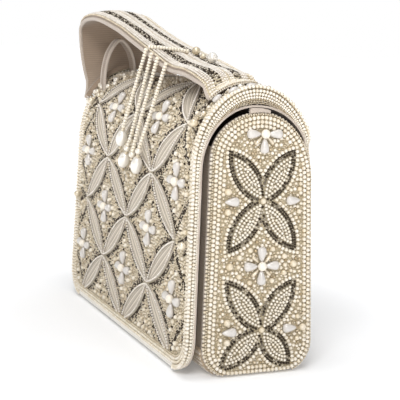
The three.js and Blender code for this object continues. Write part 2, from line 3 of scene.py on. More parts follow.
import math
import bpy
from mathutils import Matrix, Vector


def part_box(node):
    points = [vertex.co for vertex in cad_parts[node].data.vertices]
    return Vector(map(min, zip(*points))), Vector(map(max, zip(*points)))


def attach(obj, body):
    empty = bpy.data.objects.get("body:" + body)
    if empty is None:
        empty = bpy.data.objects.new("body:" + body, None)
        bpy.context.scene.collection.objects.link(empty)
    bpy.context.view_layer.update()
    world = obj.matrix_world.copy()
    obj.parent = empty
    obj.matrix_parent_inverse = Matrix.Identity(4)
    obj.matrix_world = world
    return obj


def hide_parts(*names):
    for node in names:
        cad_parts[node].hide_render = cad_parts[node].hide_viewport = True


bl_info = {
    "name": "Beaded Handbag",
    "version": (1, 0, 0),
    "blender": (4, 5, 0),
    "location": "View3D > Sidebar > Beaded Handbag",
    "description": "Dresses a structured handbag in cloth, cords, seed beads, pearls and drops",
    "category": "Object",
}

import bpy
import numpy as np
from mathutils import Matrix, Vector

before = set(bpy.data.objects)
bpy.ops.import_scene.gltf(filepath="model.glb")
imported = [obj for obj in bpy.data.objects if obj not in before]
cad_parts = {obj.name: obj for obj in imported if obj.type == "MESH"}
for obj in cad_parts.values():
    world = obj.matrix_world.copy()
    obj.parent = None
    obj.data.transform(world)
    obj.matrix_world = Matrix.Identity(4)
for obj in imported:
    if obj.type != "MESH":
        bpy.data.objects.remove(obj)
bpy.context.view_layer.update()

MM = 0.001
BODY = "root"
ENDS = {"right": 1, "left": -1}
# Directions of a flower's drops and of the slim drops between them.
QUARTERS = [0, 0.5 * math.pi, math.pi, 1.5 * math.pi]
DIAGONALS = [turn + 0.25 * math.pi for turn in QUARTERS]

# The bag's main sizes in millimetres, those of its solids.
LENGTH_AT_FLOOR = 255.6
LENGTH_AT_TOP = 236.7
DEPTH_AT_FLOOR = 78.4
DEPTH_AT_SPRING = 72.1
SPRING_Z = 134.8
TOP_Z = 189.2
APEX_Y = -5.3
CLEARANCE = 0.4

# Cover.
FLAP_STANDOFF = 7.25
FLAP_T = 5.5
BACK_T = 3
APEX_T = 13.3
BACK_PROUD = 1.5
FLAP_BOTTOM = 2.5
FLAP_CORNER_R = 24
BACK_BOTTOM = 13
BACK_NOTCH = (149, 158)
BACK_NOTCH_DEPTH = 6.4

# End panels.
PANEL_T = 6
PANEL_FRONT_CORNER_R = 20
PANEL_BACK_CORNER_R = 20
PANEL_TOP_Z = 172
PANEL_APEX_Y = -1.6
PANEL_FRONT_ARCH = 30
PANEL_BACK_ARCH = 44
PANEL_FLOWERS = {
    "middle": {"z": 72.6, "drops": QUARTERS, "slim": DIAGONALS},
    "top": {"z": 158.8, "drops": [0, math.pi, 1.5 * math.pi], "slim": DIAGONALS[2:]},
}
SIDE_STONE_Y = {"front": -22.3, "back": 22.3}

# Rounded foot of the body's front wall.
RIM_CORNER_R = 16

# Lattice of the cover, by column from the right end and row from the top of the flap.
LATTICE_DX = 47.44
LATTICE_DS = 39
LATTICE_TOP_S = 164.2
LATTICE_Z = 100
FLAP_FLOWERS = [(1, 0), (3, 0), (0, 1), (4, 1), (1, 2), (3, 2), (0, 3), (2, 3), (4, 3)]

# Handle: sections from the right foot to the left one. front: front edge of the lining.
# back: back edge from the front one. crown: rise of the middle, x and z. rest: 1 on the cover.
HANDLE_T = 5
HANDLE_FOOT_T = 2.4
HANDLE_FOOT_PART = 0.14
FOOT_LIFT = 1
HANDLE_SECTIONS = [
    {"front": (103.5, -31, 180), "back": (0, 31.5, 3), "crown": (0, 8), "rest": 1},
    {"front": (97, -33.6, 186.6), "back": (0, 34.4, 4), "crown": (0, 4), "rest": 0},
    {"front": (86, -35.8, 190.2), "back": (0, 37.8, 0.3), "crown": (0, 4), "rest": 0},
    {"front": (70, -37.1, 193.2), "back": (0, 41, -1), "crown": (0, 2.5), "rest": 0},
    {"front": (45, -37.9, 195.2), "back": (0, 45, 0.8), "crown": (0, 2.5), "rest": 0},
    {"front": (0, -39.5, 206.7), "back": (0, 48, -4.2), "crown": (0, 2.5), "rest": 0},
    {"front": (-28, -41, 214.6), "back": (0, 48, -7.2), "crown": (0, 2.5), "rest": 0},
    {"front": (-48, -42, 220.3), "back": (0, 48, -8.2), "crown": (0, 2.5), "rest": 0},
    {"front": (-70, -43, 225), "back": (0, 48, -7.4), "crown": (0, 3), "rest": 0},
    {"front": (-90, -44, 228.6), "back": (0, 48, -5.2), "crown": (0, 3.5), "rest": 0},
    {"front": (-111, -44, 230), "back": (0, 47, -0.5), "crown": (-1, 4), "rest": 0},
    {"front": (-132, -44, 228), "back": (3, 48, 2), "crown": (-3, 3.5), "rest": 0},
    {"front": (-144, -43.5, 222.5), "back": (13, 55, 2), "crown": (-4, 2.5), "rest": 0},
    {"front": (-146.5, -42.5, 213), "back": (20, 61, 3), "crown": (-4, 0), "rest": 0},
    {"front": (-145, -42, 202), "back": (26, 66, 4), "crown": (-3, 4), "rest": 0},
    {"front": (-140.5, -41.5, 191), "back": (28, 71, 9), "crown": (-2, 7), "rest": 0},
    {"front": (-131, -41.5, 179.5), "back": (22, 72, 14), "crown": (0, 10), "rest": 0},
    {"front": (-117, -42, 169), "back": (8, 68, 18), "crown": (0, 12), "rest": 1},
]

# Keeper loop, in a plane across the bag.
LOOP_X = -106
LOOP_WIDTH = 10.5
LOOP_T = 2.6
LOOP_PATH = [
    (-33.4, 168), (-33.6, 184), (-32.2, 195.5), (-28.8, 205.6), (-22.3, 213.2),
    (-15.8, 207.2), (-11.9, 198.4), (-10.9, 190), (-10.8, 183),
]

# Tassel strings: top and end along the bag, height of the end; lean: degrees of the drop there.
STRAND_R = 1.6
STRAND_LIFT = 1.2
STRAND_SHOULDER_S = 151
STRAND_SHOULDER_LIFT = 3.2
STRAND_BEND = 0.1
STRAND_BEND_MIN = 6
STRANDS = [
    {"top_x": 10, "end_x": 1, "end_z": 152.8, "lean": 20, "oval": True, "round": False},
    {"top_x": 20, "end_x": 12, "end_z": 140.7, "lean": 33, "oval": True, "round": True},
    {"top_x": 31, "end_x": 22.5, "end_z": 137.8, "lean": 20, "oval": False, "round": True},
    {"top_x": 46, "end_x": 35.5, "end_z": 141.7, "lean": 19, "oval": True, "round": True},
]
DROP_R = 4.3
DROP_LENGTH = 13
DROP_PEARL_R = 2.6
DROP_BEAD_R = 1.3
DROP_JOIN = 0.97
DROP_GAP = 0.9
WRAP_ALONG = (0.284, 0.266)
WRAP_ACROSS = (0.02, 0.5)

# How deep the beads of the edges and the handle start under the solids' faces, how deep the
# cloth of the cover and the panels lies, and the share of its radius that a bead sinks into it.
GROUND = 1.2
CLOTH_DEPTH = 1.1
BEAD_SINK = 0.1
SEED = 7

# Share of the way from deep to light that a bead's colour takes, by kind and place.
PEARL_TONES = (0.5, 1.0)
SPECKLED_TONES = (0.38, 1.0)
DARK_TONES = (0, 0.85)
# Painted shade at a sewn bead's foot, where its neighbours shade it: how much lower its tone is there
# than at its top, and the beads that keep one tone.
FOOT_SHADE = 0.5
EVEN_BEADS = ("steel_seed_bead", "cream_lustre_bead")


def linear(hex_colour):
    """Linear RGB of an sRGB hex colour."""
    channels = [int(hex_colour[i : i + 2], 16) / 255 for i in (1, 3, 5)]
    return [c / 12.92 if c <= 0.04045 else ((c + 0.055) / 1.055) ** 2.4 for c in channels]


def colour(label, words, hex_colour):
    return bpy.props.FloatVectorProperty(
        name=label, description=words, subtype="COLOR", size=3, min=0, max=1,
        default=linear(hex_colour),
    )


def size(label, words, millimetres):
    return bpy.props.FloatProperty(
        name=label, description=words, default=millimetres * MM, min=0.0001,
        subtype="DISTANCE", unit="LENGTH",
    )


class BagBeads(bpy.types.PropertyGroup):
    """Sizes of the beads and petals."""

    pearl: size("Pearl", "Diameter of the pearls in the end panels' borders", 3.0)
    gold: size("Gold seed", "Diameter of the champagne beads inside the cover's border", 1.7)
    steel: size("Steel bead", "Diameter of the dark beads round the petals", 1.4)
    petal: size("Petal width", "Width of a corded petal of the lattice", 14.0)


class BagColours(bpy.types.PropertyGroup):
    """Colours of the bag's materials."""

    # Pearl, deep, Champagne, deep and Piping are also the colours of the painted shade at the feet of
    # the pearls, gold beads and chalk beads.
    pearl_light: colour("Pearl, light", "Palest pearls", "#F4EDE1")
    pearl_deep: colour("Pearl, deep", "Warmest pearls", "#D3C19E")
    nacre: colour("Nacre", "Large single pearls and drops", "#F5F0E7")
    gold_light: colour("Champagne, light", "Palest champagne beads", "#EFE4CF")
    gold_deep: colour("Champagne, deep", "Deepest champagne beads", "#BCA784")
    # Steel, light: pale silver beads whose colour also stands in for glints, a painted highlight.
    steel_light: colour("Steel, light", "Brightest steel beads", "#D2C8B8")
    steel_deep: colour("Steel, deep", "Darkest steel beads", "#453A30")
    opal: colour("Opal", "Milky drops", "#DDD7D0")
    chalk: colour("Chalk", "Off-white seed beads of the handle and round the petals", "#F6F1E8")
    cord: colour("Cord", "Silk cords of the petals", "#E4DACB")
    ground: colour("Ground cloth", "Cloth under the beads", "#D0C3A6")
    taupe: colour("Taupe cloth", "Lining of cover, handle and loop", "#A3907D")
    # Shell cloth: the lining's taupe made paler as painted light for the body's walls, which lie in
    # shade.
    shell: colour("Shell cloth", "Cloth of the body's walls and base", "#C0AC92")
    piping: colour("Piping", "Edge piping", "#CFC2B5")
    floor: colour("Floor", "Studio floor", "#F3F4F6")


class BagSettings(bpy.types.PropertyGroup):
    """All that a user would change on the bag."""

    beads: bpy.props.PointerProperty(type=BagBeads)
    colours: bpy.props.PointerProperty(type=BagColours)


def settings():
    return bpy.context.scene.beaded_bag


def millimetres(name):
    """One of the bead sizes, in millimetres."""
    return getattr(settings().beads, name) / MM


# Shape of the bag.


def half_length(z):
    return (LENGTH_AT_FLOOR + (LENGTH_AT_TOP - LENGTH_AT_FLOOR) * np.asarray(z) / TOP_Z) / 2


def half_depth(z):
    return (DEPTH_AT_FLOOR + (DEPTH_AT_SPRING - DEPTH_AT_FLOOR) * np.asarray(z) / SPRING_Z) / 2


def flap_y(z):
    return -(half_depth(z) + FLAP_STANDOFF + FLAP_T)


def back_y(z):
    return half_depth(z) + BACK_PROUD


def smoothstep(x, low, high):
    t = np.clip((np.asarray(x, float) - low) / (high - low), 0, 1)
    return t * t * (3 - 2 * t)


def unit(vectors):
    """Vectors in rows, each made one long."""
    return vectors / np.linalg.norm(vectors, axis=-1, keepdims=True)


def running_length(points):
    """Distance along a polyline from its first point to each of its points."""
    return np.concatenate([[0], np.cumsum(np.linalg.norm(np.diff(points, axis=0), axis=1))])


def arch(angle):
    """Points (y, z) of the cover's arch; 0 is the flap's side."""
    angle = np.asarray(angle, float)
    front = APEX_Y - flap_y(SPRING_Z)
    back = back_y(SPRING_Z) - APEX_Y
    reach = np.where(angle < math.pi / 2, front, back)
    return APEX_Y - reach * np.cos(angle), SPRING_Z + (TOP_Z - SPRING_Z) * np.sin(angle)


WALL_STEPS = 60
ARCH_STEPS = 400


def cover_profile():
    """The cover's outer face in section: s up the flap and over, y, z, outward normal, thickness t."""
    rise = np.linspace(FLAP_BOTTOM, SPRING_Z, WALL_STEPS)
    turn = np.linspace(0, math.pi, ARCH_STEPS)[1:]
    fall = np.linspace(SPRING_Z, BACK_BOTTOM, WALL_STEPS)[1:]
    arch_y, arch_z = arch(turn)
    y = np.concatenate([flap_y(rise), arch_y, back_y(fall)])
    z = np.concatenate([rise, arch_z, fall])
    s = FLAP_BOTTOM + np.concatenate([[0], np.cumsum(np.hypot(np.diff(y), np.diff(z)))])
    along_y = np.gradient(y, s)
    along_z = np.gradient(z, s)
    length = np.hypot(along_y, along_z)
    angle = np.concatenate([np.zeros_like(rise), turn, np.full_like(fall, math.pi)])
    side = np.where(angle < math.pi / 2, FLAP_T, BACK_T)
    thickness = side + (APEX_T - side) * np.sin(angle) ** 2
    return {
        "s": s, "y": y, "z": z, "ny": -along_z / length, "nz": along_y / length, "t": thickness,
    }


PROFILE = cover_profile()
COVER_END_S = PROFILE["s"][-1]
COVER_TOP_S = PROFILE["s"][np.argmax(PROFILE["z"])]
HALF_SHEET = float(half_length(LATTICE_Z))


def on_profile(name, s):
    return np.interp(s, PROFILE["s"], PROFILE[name])


def sheet_half(s):
    """Half the cover's width as a flat sheet; the back is narrower, between the end panels."""
    z = on_profile("z", s)
    notch = BACK_NOTCH_DEPTH * (1 - smoothstep(z, *BACK_NOTCH))
    return HALF_SHEET - np.where(np.asarray(s) > COVER_TOP_S, notch, 0)


def cover_place(p, s, lift=0.0):
    """Points and outward normals of the cover from its flat sheet: p across, s up and over."""
    p, s = np.broadcast_arrays(np.asarray(p, float), np.asarray(s, float))
    z = on_profile("z", s)
    normal = unit(np.stack([np.zeros_like(z), on_profile("ny", s), on_profile("nz", s)], -1))
    x = p * half_length(z) / HALF_SHEET
    point = np.stack([x, on_profile("y", s), z], -1)
    return point + normal * np.asarray(lift, float)[..., None], normal


def cover_gap(p, s):
    """Distance from a place of the flat sheet to its outline, positive inside."""
    side = sheet_half(s) - np.abs(p)
    end = np.minimum(s - FLAP_BOTTOM, COVER_END_S - s)
    corner_p = FLAP_CORNER_R - side
    corner_s = FLAP_CORNER_R - (s - FLAP_BOTTOM)
    in_corner = (corner_p > 0) & (corner_s > 0)
    rounded = FLAP_CORNER_R - np.hypot(corner_p, corner_s)
    return np.where(in_corner, rounded, np.minimum(side, end))


def cover_outline(gap):
    """The sheet's outline from the back's right corner round the flap to the left one."""
    radius = FLAP_CORNER_R - gap
    low = FLAP_BOTTOM + FLAP_CORNER_R
    s = np.linspace(COVER_END_S, low, 240)
    right = np.stack([sheet_half(s) - gap, s], -1)
    turn = np.linspace(0, math.pi / 2, 16)[1:]
    centre = HALF_SHEET - FLAP_CORNER_R
    corner = np.stack([centre + radius * np.cos(turn), low - radius * np.sin(turn)], -1)
    half = np.concatenate([right, corner])
    return np.concatenate([half, half[::-1] * [-1, 1]])


def panel_outline(gap):
    """Outline (y, z) of an end panel at a distance inside its edge, as a closed loop."""
    floor_half = half_depth(0) - gap
    spring_half = half_depth(SPRING_Z) - gap

    def turn(cy, cz, ry, rz, start, end, steps):
        angle = np.linspace(start, end, steps)
        return np.stack([cy + ry * np.cos(angle), cz + rz * np.sin(angle)], -1)

    back_r = PANEL_BACK_CORNER_R - gap
    front_r = max(PANEL_FRONT_CORNER_R - gap, 0.5)
    quarter = math.pi / 2
    return np.concatenate([
        turn(floor_half - back_r, gap + back_r, back_r, back_r, -quarter, 0, 14),
        turn(PANEL_APEX_Y, PANEL_TOP_Z - PANEL_BACK_ARCH, spring_half - PANEL_APEX_Y,
             PANEL_BACK_ARCH - gap, 0, quarter, 30),
        turn(PANEL_APEX_Y, PANEL_TOP_Z - PANEL_FRONT_ARCH, spring_half + PANEL_APEX_Y,
             PANEL_FRONT_ARCH - gap, quarter, 2 * quarter, 30),
        turn(-floor_half + front_r, gap + front_r, front_r, front_r, 2 * quarter, 3 * quarter, 10),
    ])


def panel_place(y, z, lift=0.0):
    """Points and normals on the right end panel's face."""
    y, z = np.broadcast_arrays(np.asarray(y, float), np.asarray(z, float))
    lean = (LENGTH_AT_FLOOR - LENGTH_AT_TOP) / 2 / TOP_Z
    normal = np.broadcast_to(np.array([1, 0, lean]) / math.hypot(1, lean), y.shape + (3,))
    point = np.stack([half_length(z), y, z], -1)
    return point + normal * np.asarray(lift, float)[..., None], normal


def smooth_curve(points):
    """A centripetal Catmull-Rom curve through points, as a function of places from 0 to 1."""
    points = np.asarray(points, float)
    knots = np.vstack([2 * points[0] - points[1], points, 2 * points[-1] - points[-2]])

    def chord(a, b, spare):
        length = np.sum((a - b) ** 2, 1)[:, None] ** 0.25
        return np.where(length < 1e-4, spare, length)

    def at(place):
        place = np.clip(np.asarray(place, float), 0, 1)
        step = place.ravel() * (len(points) - 1)
        i = np.minimum(step.astype(int), len(points) - 2)
        w = (step - i)[:, None]
        a, b, c, d = knots[i], knots[i + 1], knots[i + 2], knots[i + 3]
        middle = chord(b, c, 1.0)
        before, after = chord(a, b, middle), chord(c, d, middle)
        leave = (b - a) / before - (c - a) / (before + middle) + (c - b) / middle
        reach = (c - b) / middle - (d - b) / (middle + after) + (d - c) / after
        leave, reach = leave * middle, reach * middle
        cubic = 2 * b - 2 * c + leave + reach
        square = 3 * c - 3 * b - 2 * leave - reach
        return (b + leave * w + square * w**2 + cubic * w**3).reshape(place.shape + (-1,))

    return at


def over_cover(y, height):
    """Points (y, z) and normals above the arch at depths y."""
    reach = np.where(y < APEX_Y, APEX_Y - flap_y(SPRING_Z), back_y(SPRING_Z) - APEX_Y)
    angle = np.arccos(np.clip((APEX_Y - y) / reach, -1, 1))
    rise = TOP_Z - SPRING_Z
    ny, nz = -np.cos(angle) / reach, np.sin(angle) / rise
    length = np.hypot(ny, nz)
    ny, nz = ny / length, nz / length
    return y + ny * height, SPRING_Z + rise * np.sin(angle) + nz * height, ny, nz


def handle_curves():
    """Curves along the handle: its front and back edges, its crown and where it lies on the cover."""
    rows = HANDLE_SECTIONS
    front = [row["front"] for row in rows]
    back = [np.add(row["front"], row["back"]) for row in rows]
    crown = [(row["crown"][0], 0, row["crown"][1]) for row in rows]
    rest = [(row["rest"], 0, 0) for row in rows]
    return [smooth_curve(points) for points in (front, back, crown, rest)]


HANDLE_FRONT, HANDLE_BACK, HANDLE_CROWN, HANDLE_REST = handle_curves()


def handle_thickness(v):
    return HANDLE_FOOT_T + (HANDLE_T - HANDLE_FOOT_T) * smoothstep(v, 0, HANDLE_FOOT_PART)


def handle_sheet(u, v):
    """Points of the handle's lining before its feet are laid on the cover."""
    rise = HANDLE_CROWN(v) * (4 * u * (1 - u))[..., None]
    return HANDLE_FRONT(v) * (1 - u)[..., None] + HANDLE_BACK(v) * u[..., None] + rise


def handle_place(u, v, lift=0.0):
    """Points and outward normals of the handle: u across, v along, lift from the lining."""
    u, v = np.broadcast_arrays(np.asarray(u, float), np.asarray(v, float))
    step = 1e-3
    across = handle_sheet(np.minimum(u + step, 1), v) - handle_sheet(np.maximum(u - step, 0), v)
    along = handle_sheet(u, np.minimum(v + step, 1)) - handle_sheet(u, np.maximum(v - step, 0))
    normal = unit(np.cross(across, along))
    point = handle_sheet(u, v)
    lying = np.clip(HANDLE_REST(v)[..., :1], 0, 1)
    face_down = v > 0.5
    y, z, ny, nz = over_cover(point[..., 1], FOOT_LIFT + np.where(face_down, HANDLE_T, 0))
    resting = np.stack([point[..., 0], y, z], -1)
    flat = np.stack([np.zeros_like(ny), ny, nz], -1) * np.where(face_down, -1, 1)[..., None]
    point = point + (resting - point) * lying
    normal = unit(normal + (flat - normal) * lying)
    return point + normal * np.asarray(lift, float)[..., None], normal


def spaced(points, pitch, closed=False):
    """Points at an even pitch along a polyline, as near to the asked pitch as fits."""
    points = np.asarray(points, float)
    if closed:
        points = np.vstack([points, points[:1]])
    length = running_length(points)
    count = max(1, round(length[-1] / pitch))
    at = np.linspace(0, length[-1], count + 1)
    if closed:
        at = at[:-1]
    return np.stack([np.interp(at, length, column) for column in points.T], -1)


class Petal:
    """A lens between two points of a flat pattern, bounded by two arcs."""

    def __init__(self, start, end, width, open_ended=False):
        self.start = np.asarray(start, float)
        self.length = float(np.linalg.norm(np.subtract(end, start)))
        self.along = np.subtract(end, start) / self.length
        self.across = np.array([-self.along[1], self.along[0]])
        self.half = width / 2
        self.radius = (self.length**2 / 4 + self.half**2) / width
        self.sunk = self.radius - self.half
        self.open_ended = open_ended

    def flat(self, along, across):
        """Pattern coordinates of places along and across the petal."""
        return self.start + np.multiply.outer(along, self.along) + np.multiply.outer(across, self.across)

    def half_width(self, along):
        inside = np.maximum(self.radius**2 - (np.asarray(along) - self.length / 2) ** 2, 0)
        return np.maximum(np.sqrt(inside) - self.sunk, 0)

    def holds(self, points, margin=0.0):
        """True for points inside the lens grown by a margin."""
        d = np.asarray(points, float) - self.start
        along = d @ self.along - self.length / 2
        across = np.abs(d @ self.across) + self.sunk
        return np.hypot(along, across) < self.radius + margin

    def rows(self, offset, pitch):
        """Places of beads along both sides, at an offset outside the lens."""
        radius = self.radius + offset
        limit = math.acos(min(1, self.sunk / radius))
        count = max(2, round(2 * limit * radius / pitch))
        turn = np.linspace(-limit, limit, count + 1)
        along = self.length / 2 + radius * np.sin(turn)
        across = radius * np.cos(turn) - self.sunk
        return np.concatenate([self.flat(along, side * across) for side in (1, -1)])


class Bed:
    """Beads of several kinds laid on a flat pattern, none of them on top of another."""

    # Side of a search cell, then the least distance of two beads as a share of both their radii: of
    # most beads, of scattered ones, and of places that are kept free.
    CELL = 8.0
    SQUEEZE = 0.86
    SCATTERED = 0.9
    SPARED = 0.2

    def __init__(self):
        self.cells = {}
        self.beads = {}

    def fits(self, a, b, r, squeeze):
        column, row = int(a // self.CELL), int(b // self.CELL)
        for i in range(column - 1, column + 2):
            for j in range(row - 1, row + 2):
                for x, y, other in self.cells.get((i, j), ()):
                    if (x - a) ** 2 + (y - b) ** 2 < (squeeze * (r + other)) ** 2:
                        return False
        return True

    def lay(self, kind, points, radius, lift=0.0, squeeze=SQUEEZE):
        """Lays beads where they fit; kind None only keeps their places free."""
        points = np.atleast_2d(points)
        radii = np.broadcast_to(radius, len(points))
        for (a, b), r in zip(points, radii):
            if self.fits(a, b, r, squeeze):
                cell = (int(a // self.CELL), int(b // self.CELL))
                self.cells.setdefault(cell, []).append((a, b, r))
                if kind is not None:
                    self.beads.setdefault(kind, []).append((a, b, r, lift))

    def spare(self, points, radius):
        """Keeps places free for stones that are set later."""
        self.lay(None, points, radius, squeeze=self.SPARED)

    def spare_rays(self, centre, turns, room):
        """Keeps circles free along the drops of a flower."""
        for turn in turns:
            for circle in room:
                out = circle["reach"] * np.array([math.cos(turn), math.sin(turn)])
                self.spare(centre + out, circle["r"])

    def scatter(self, rng, across, up, shake, free, filling):
        """Fills free places with a mix of beads on a shaken triangular grid."""
        spacing = filling["spacing"]
        a, b = np.meshgrid(np.arange(*across, spacing), np.arange(*up, spacing * 0.87))
        a[1::2] += spacing / 2
        spots = np.stack([a.ravel(), b.ravel()], -1)
        spots += rng.normal(0, spacing * shake, spots.shape)
        spots = spots[free(spots)]
        rng.shuffle(spots)
        mix = filling["mix"]
        chosen = rng.choice(len(mix), len(spots), p=list(mix.values()))
        radii = rng.uniform(*filling["radii"], len(spots))
        for index, kind in enumerate(mix):
            mine = chosen == index
            self.lay(kind, spots[mine], radii[mine], squeeze=self.SCATTERED)

    def of(self, kind):
        """Columns a, b, radius and lift of one kind."""
        return np.array(self.beads.get(kind, np.zeros((0, 4)))).reshape(-1, 4).T


# Meshes.


def bead_shape(sides, rings, top):
    """A closed bead of unit radius on z = 0: rings of (radius, height) and the height of its top."""
    turn = np.arange(sides) / sides * 2 * math.pi
    points = [(r * math.cos(a), r * math.sin(a), h) for r, h in rings for a in turn]
    points.append((0, 0, top))
    faces = [(0, i + 1, i) for i in range(1, sides - 1)]
    for level in range(len(rings) - 1):
        low, high = level * sides, (level + 1) * sides
        for i in range(sides):
            j = (i + 1) % sides
            faces += [(low + i, low + j, high + j), (low + i, high + j, high + i)]
    last = (len(rings) - 1) * sides
    faces += [(last + i, last + (i + 1) % sides, len(points) - 1) for i in range(sides)]
    return np.array(points), np.array(faces)


ROUND_BEAD = bead_shape(7, [(0.8, 0), (1, 0.62), (0.72, 1.32)], 1.62)
SEED_BEAD = bead_shape(6, [(0.95, 0.1), (0.8, 1.0)], 1.42)
STONE_BEAD = bead_shape(14, [(0.7, 0), (0.96, 0.4), (1, 0.72), (0.86, 1.24), (0.5, 1.58)], 1.72)
TINY_BEAD = bead_shape(5, [(0.95, 0.1), (0.75, 1.0)], 1.35)
PLAIN_BEAD = bead_shape(4, [(0.98, 0.1), (0.8, 1.0)], 1.35)


def new_object(name, mesh):
    piece = bpy.data.objects.new(name, mesh)
    bpy.context.scene.collection.objects.link(piece)
    return piece


def array_mesh(name, points, triangles):
    """A mesh in metres from arrays in millimetres, shaded smooth."""
    mesh = bpy.data.meshes.new(name)
    mesh.vertices.add(len(points))
    mesh.vertices.foreach_set("co", (points * MM).astype(np.float32).ravel())
    mesh.loops.add(triangles.size)
    mesh.loops.foreach_set("vertex_index", triangles.astype(np.int32).ravel())
    mesh.polygons.add(len(triangles))
    mesh.polygons.foreach_set("loop_start", np.arange(0, triangles.size, 3, dtype=np.int32))
    mesh.polygons.foreach_set("use_smooth", np.ones(len(triangles), bool))
    mesh.update(calc_edges=True)
    return mesh


def with_tone(mesh, tone):
    """Gives the points of a mesh their bead tone, one for all or one for each."""
    attribute = mesh.attributes.get("tone") or mesh.attributes.new("tone", "FLOAT", "POINT")
    attribute.data.foreach_set("value", np.broadcast_to(tone, len(mesh.vertices)).astype(np.float32))
    return mesh


def sewn_beads(name, shape, points, normals, radii, material, rng, tones=(0, 1)):
    """All the beads of one kind as one piece; each has a tone of its own between two, taken down towards
    its foot as painted shade.
    """
    corners, faces = shape
    count = len(points)
    helper = np.where(np.abs(normals[:, 2:]) < 0.9, [[0, 0, 1]], [[1, 0, 0]])
    side = unit(np.cross(helper, normals))
    basis = np.stack([side, np.cross(normals, side), normals], 1)
    local = corners[None] * np.asarray(radii)[:, None, None]
    where = points[:, None, :] + np.einsum("nkc,ncd->nkd", local, basis)
    triangles = faces[None] + (np.arange(count) * len(corners))[:, None, None]
    mesh = array_mesh(name, where.reshape(-1, 3), triangles.reshape(-1, 3))
    # Painted shade: each bead's tone falls towards its foot, except on the even beads.
    shade = 0 if material.name in EVEN_BEADS else FOOT_SHADE
    foot = shade * (1 - corners[:, 2] / corners[:, 2].max())
    with_tone(mesh, (rng.uniform(*tones, count)[:, None] - foot).ravel())
    mesh.materials.append(material)
    return new_object(name, mesh)


def deselect():
    if bpy.context.object and bpy.context.object.mode != "OBJECT":
        bpy.ops.object.mode_set(mode="OBJECT")
    bpy.ops.object.select_all(action="DESELECT")


def select_only(piece):
    deselect()
    piece.select_set(True)
    bpy.context.view_layer.objects.active = piece


def apply_modifiers(piece):
    select_only(piece)
    for modifier in list(piece.modifiers):
        bpy.ops.object.modifier_apply(modifier=modifier.name)


def edit_merged(piece, reach):
    """Opens a piece in edit mode, all selected, its corners joined within reach in millimetres."""
    select_only(piece)
    bpy.ops.object.mode_set(mode="EDIT")
    bpy.ops.mesh.select_all(action="SELECT")
    bpy.ops.mesh.remove_doubles(threshold=reach * MM)


def node_copy(name, node, shrink):
    """A node's own shape, its faces joined and drawn in by shrink millimetres."""
    piece = new_object(name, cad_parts[node].data.copy())
    piece.data.materials.clear()
    edit_merged(piece, 0.02)
    if shrink:
        bpy.ops.transform.shrink_fatten(value=-shrink * MM, use_even_offset=True)
    bpy.ops.object.mode_set(mode="OBJECT")
    bpy.ops.object.shade_smooth_by_angle(angle=math.radians(40))
    return piece


def tube(name, paths, radius, material, sides=3):
    """Cords along paths of points in millimetres, as one mesh piece."""
    line = bpy.data.curves.new(name, "CURVE")
    line.dimensions = "3D"
    line.bevel_depth = radius * MM
    line.bevel_resolution = sides - 1
    line.use_fill_caps = True
    for points in paths:
        spline = line.splines.new("POLY")
        spline.points.add(len(points) - 1)
        rows = np.hstack([np.asarray(points) * MM, np.ones((len(points), 1))])
        spline.points.foreach_set("co", rows.astype(np.float32).ravel())
    piece = new_object(name, line)
    select_only(piece)
    bpy.ops.object.convert(target="MESH")
    piece = bpy.context.object
    piece.data.materials.clear()
    piece.data.materials.append(material)
    with_tone(piece.data, 1.0)
    bpy.ops.object.shade_smooth()
    return piece


def dressed(piece, slot, *nodes):
    """Makes a piece ride on the bag and stand for the nodes that it shows."""
    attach(piece, BODY)
    if nodes:
        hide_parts(*nodes)
    return piece


# Materials.


def add_node(tree, kind, inputs=None, **values):
    """Adds a node with its settings; an input is a value or the socket that feeds it."""
    node = tree.nodes.new(kind)
    for name, value in values.items():
        setattr(node, name, value)
    for name, value in (inputs or {}).items():
        if isinstance(value, bpy.types.NodeSocket):
            tree.links.new(value, node.inputs[name])
        else:
            node.inputs[name].default_value = value
    return node


def new_material(name, **sockets):
    """A material with a Principled shader whose even values are set on its own sockets."""
    material = bpy.data.materials.new(name)
    material.use_nodes = True
    tree = material.node_tree
    tree.nodes.clear()
    values = {key.replace("_", " "): value for key, value in sockets.items()}
    shader = add_node(tree, "ShaderNodeBsdfPrincipled", values)
    add_node(tree, "ShaderNodeOutputMaterial", {"Surface": shader.outputs[0]})
    return material, tree, shader


def rgba(name):
    return (*getattr(settings().colours, name), 1)


def dimmed(base, red, green, blue):
    """A colour with each channel taken down to a share."""
    return (base[0] * red, base[1] * green, base[2] * blue, 1)


def toned_bead(name, low, high, **sockets):
    """A bead material whose colour lies between two, by the tone that its own mesh gives it, painted
    shade at the foot included.
    """
    material, tree, shader = new_material(name, **sockets)
    tone = add_node(tree, "ShaderNodeAttribute", attribute_name="tone")
    mix = add_node(
        tree, "ShaderNodeMix",
        {0: tone.outputs["Fac"], 6: rgba(low), 7: rgba(high)}, data_type="RGBA",
    )
    tree.links.new(mix.outputs[2], shader.inputs["Base Color"])
    return material


def imitation_pearl():
    # Moulded acrylic pearl with a dipped nacre skin: soft gloss, ivory with warm ones among them.
    return toned_bead(
        "imitation_pearl", "pearl_deep", "pearl_light",
        Roughness=0.34, IOR=1.5, Coat_Weight=0.25, Coat_Roughness=0.1,
    )


def nacre_pearl():
    # Large pearl with a deep nacre coat: near white, with a clear highlight over a soft sheen.
    return toned_bead(
        "nacre_pearl", "pearl_deep", "nacre",
        Metallic=0.3, Roughness=0.24, IOR=1.55, Coat_Weight=0.8, Coat_Roughness=0.05,
    )


def champagne_seed():
    # Silver-lined glass seed bead: a metallic gleam through pale gold glass.
    return toned_bead(
        "champagne_seed_bead", "gold_deep", "gold_light",
        Metallic=0.35, Roughness=0.3, IOR=1.52, Coat_Weight=0.4,
    )


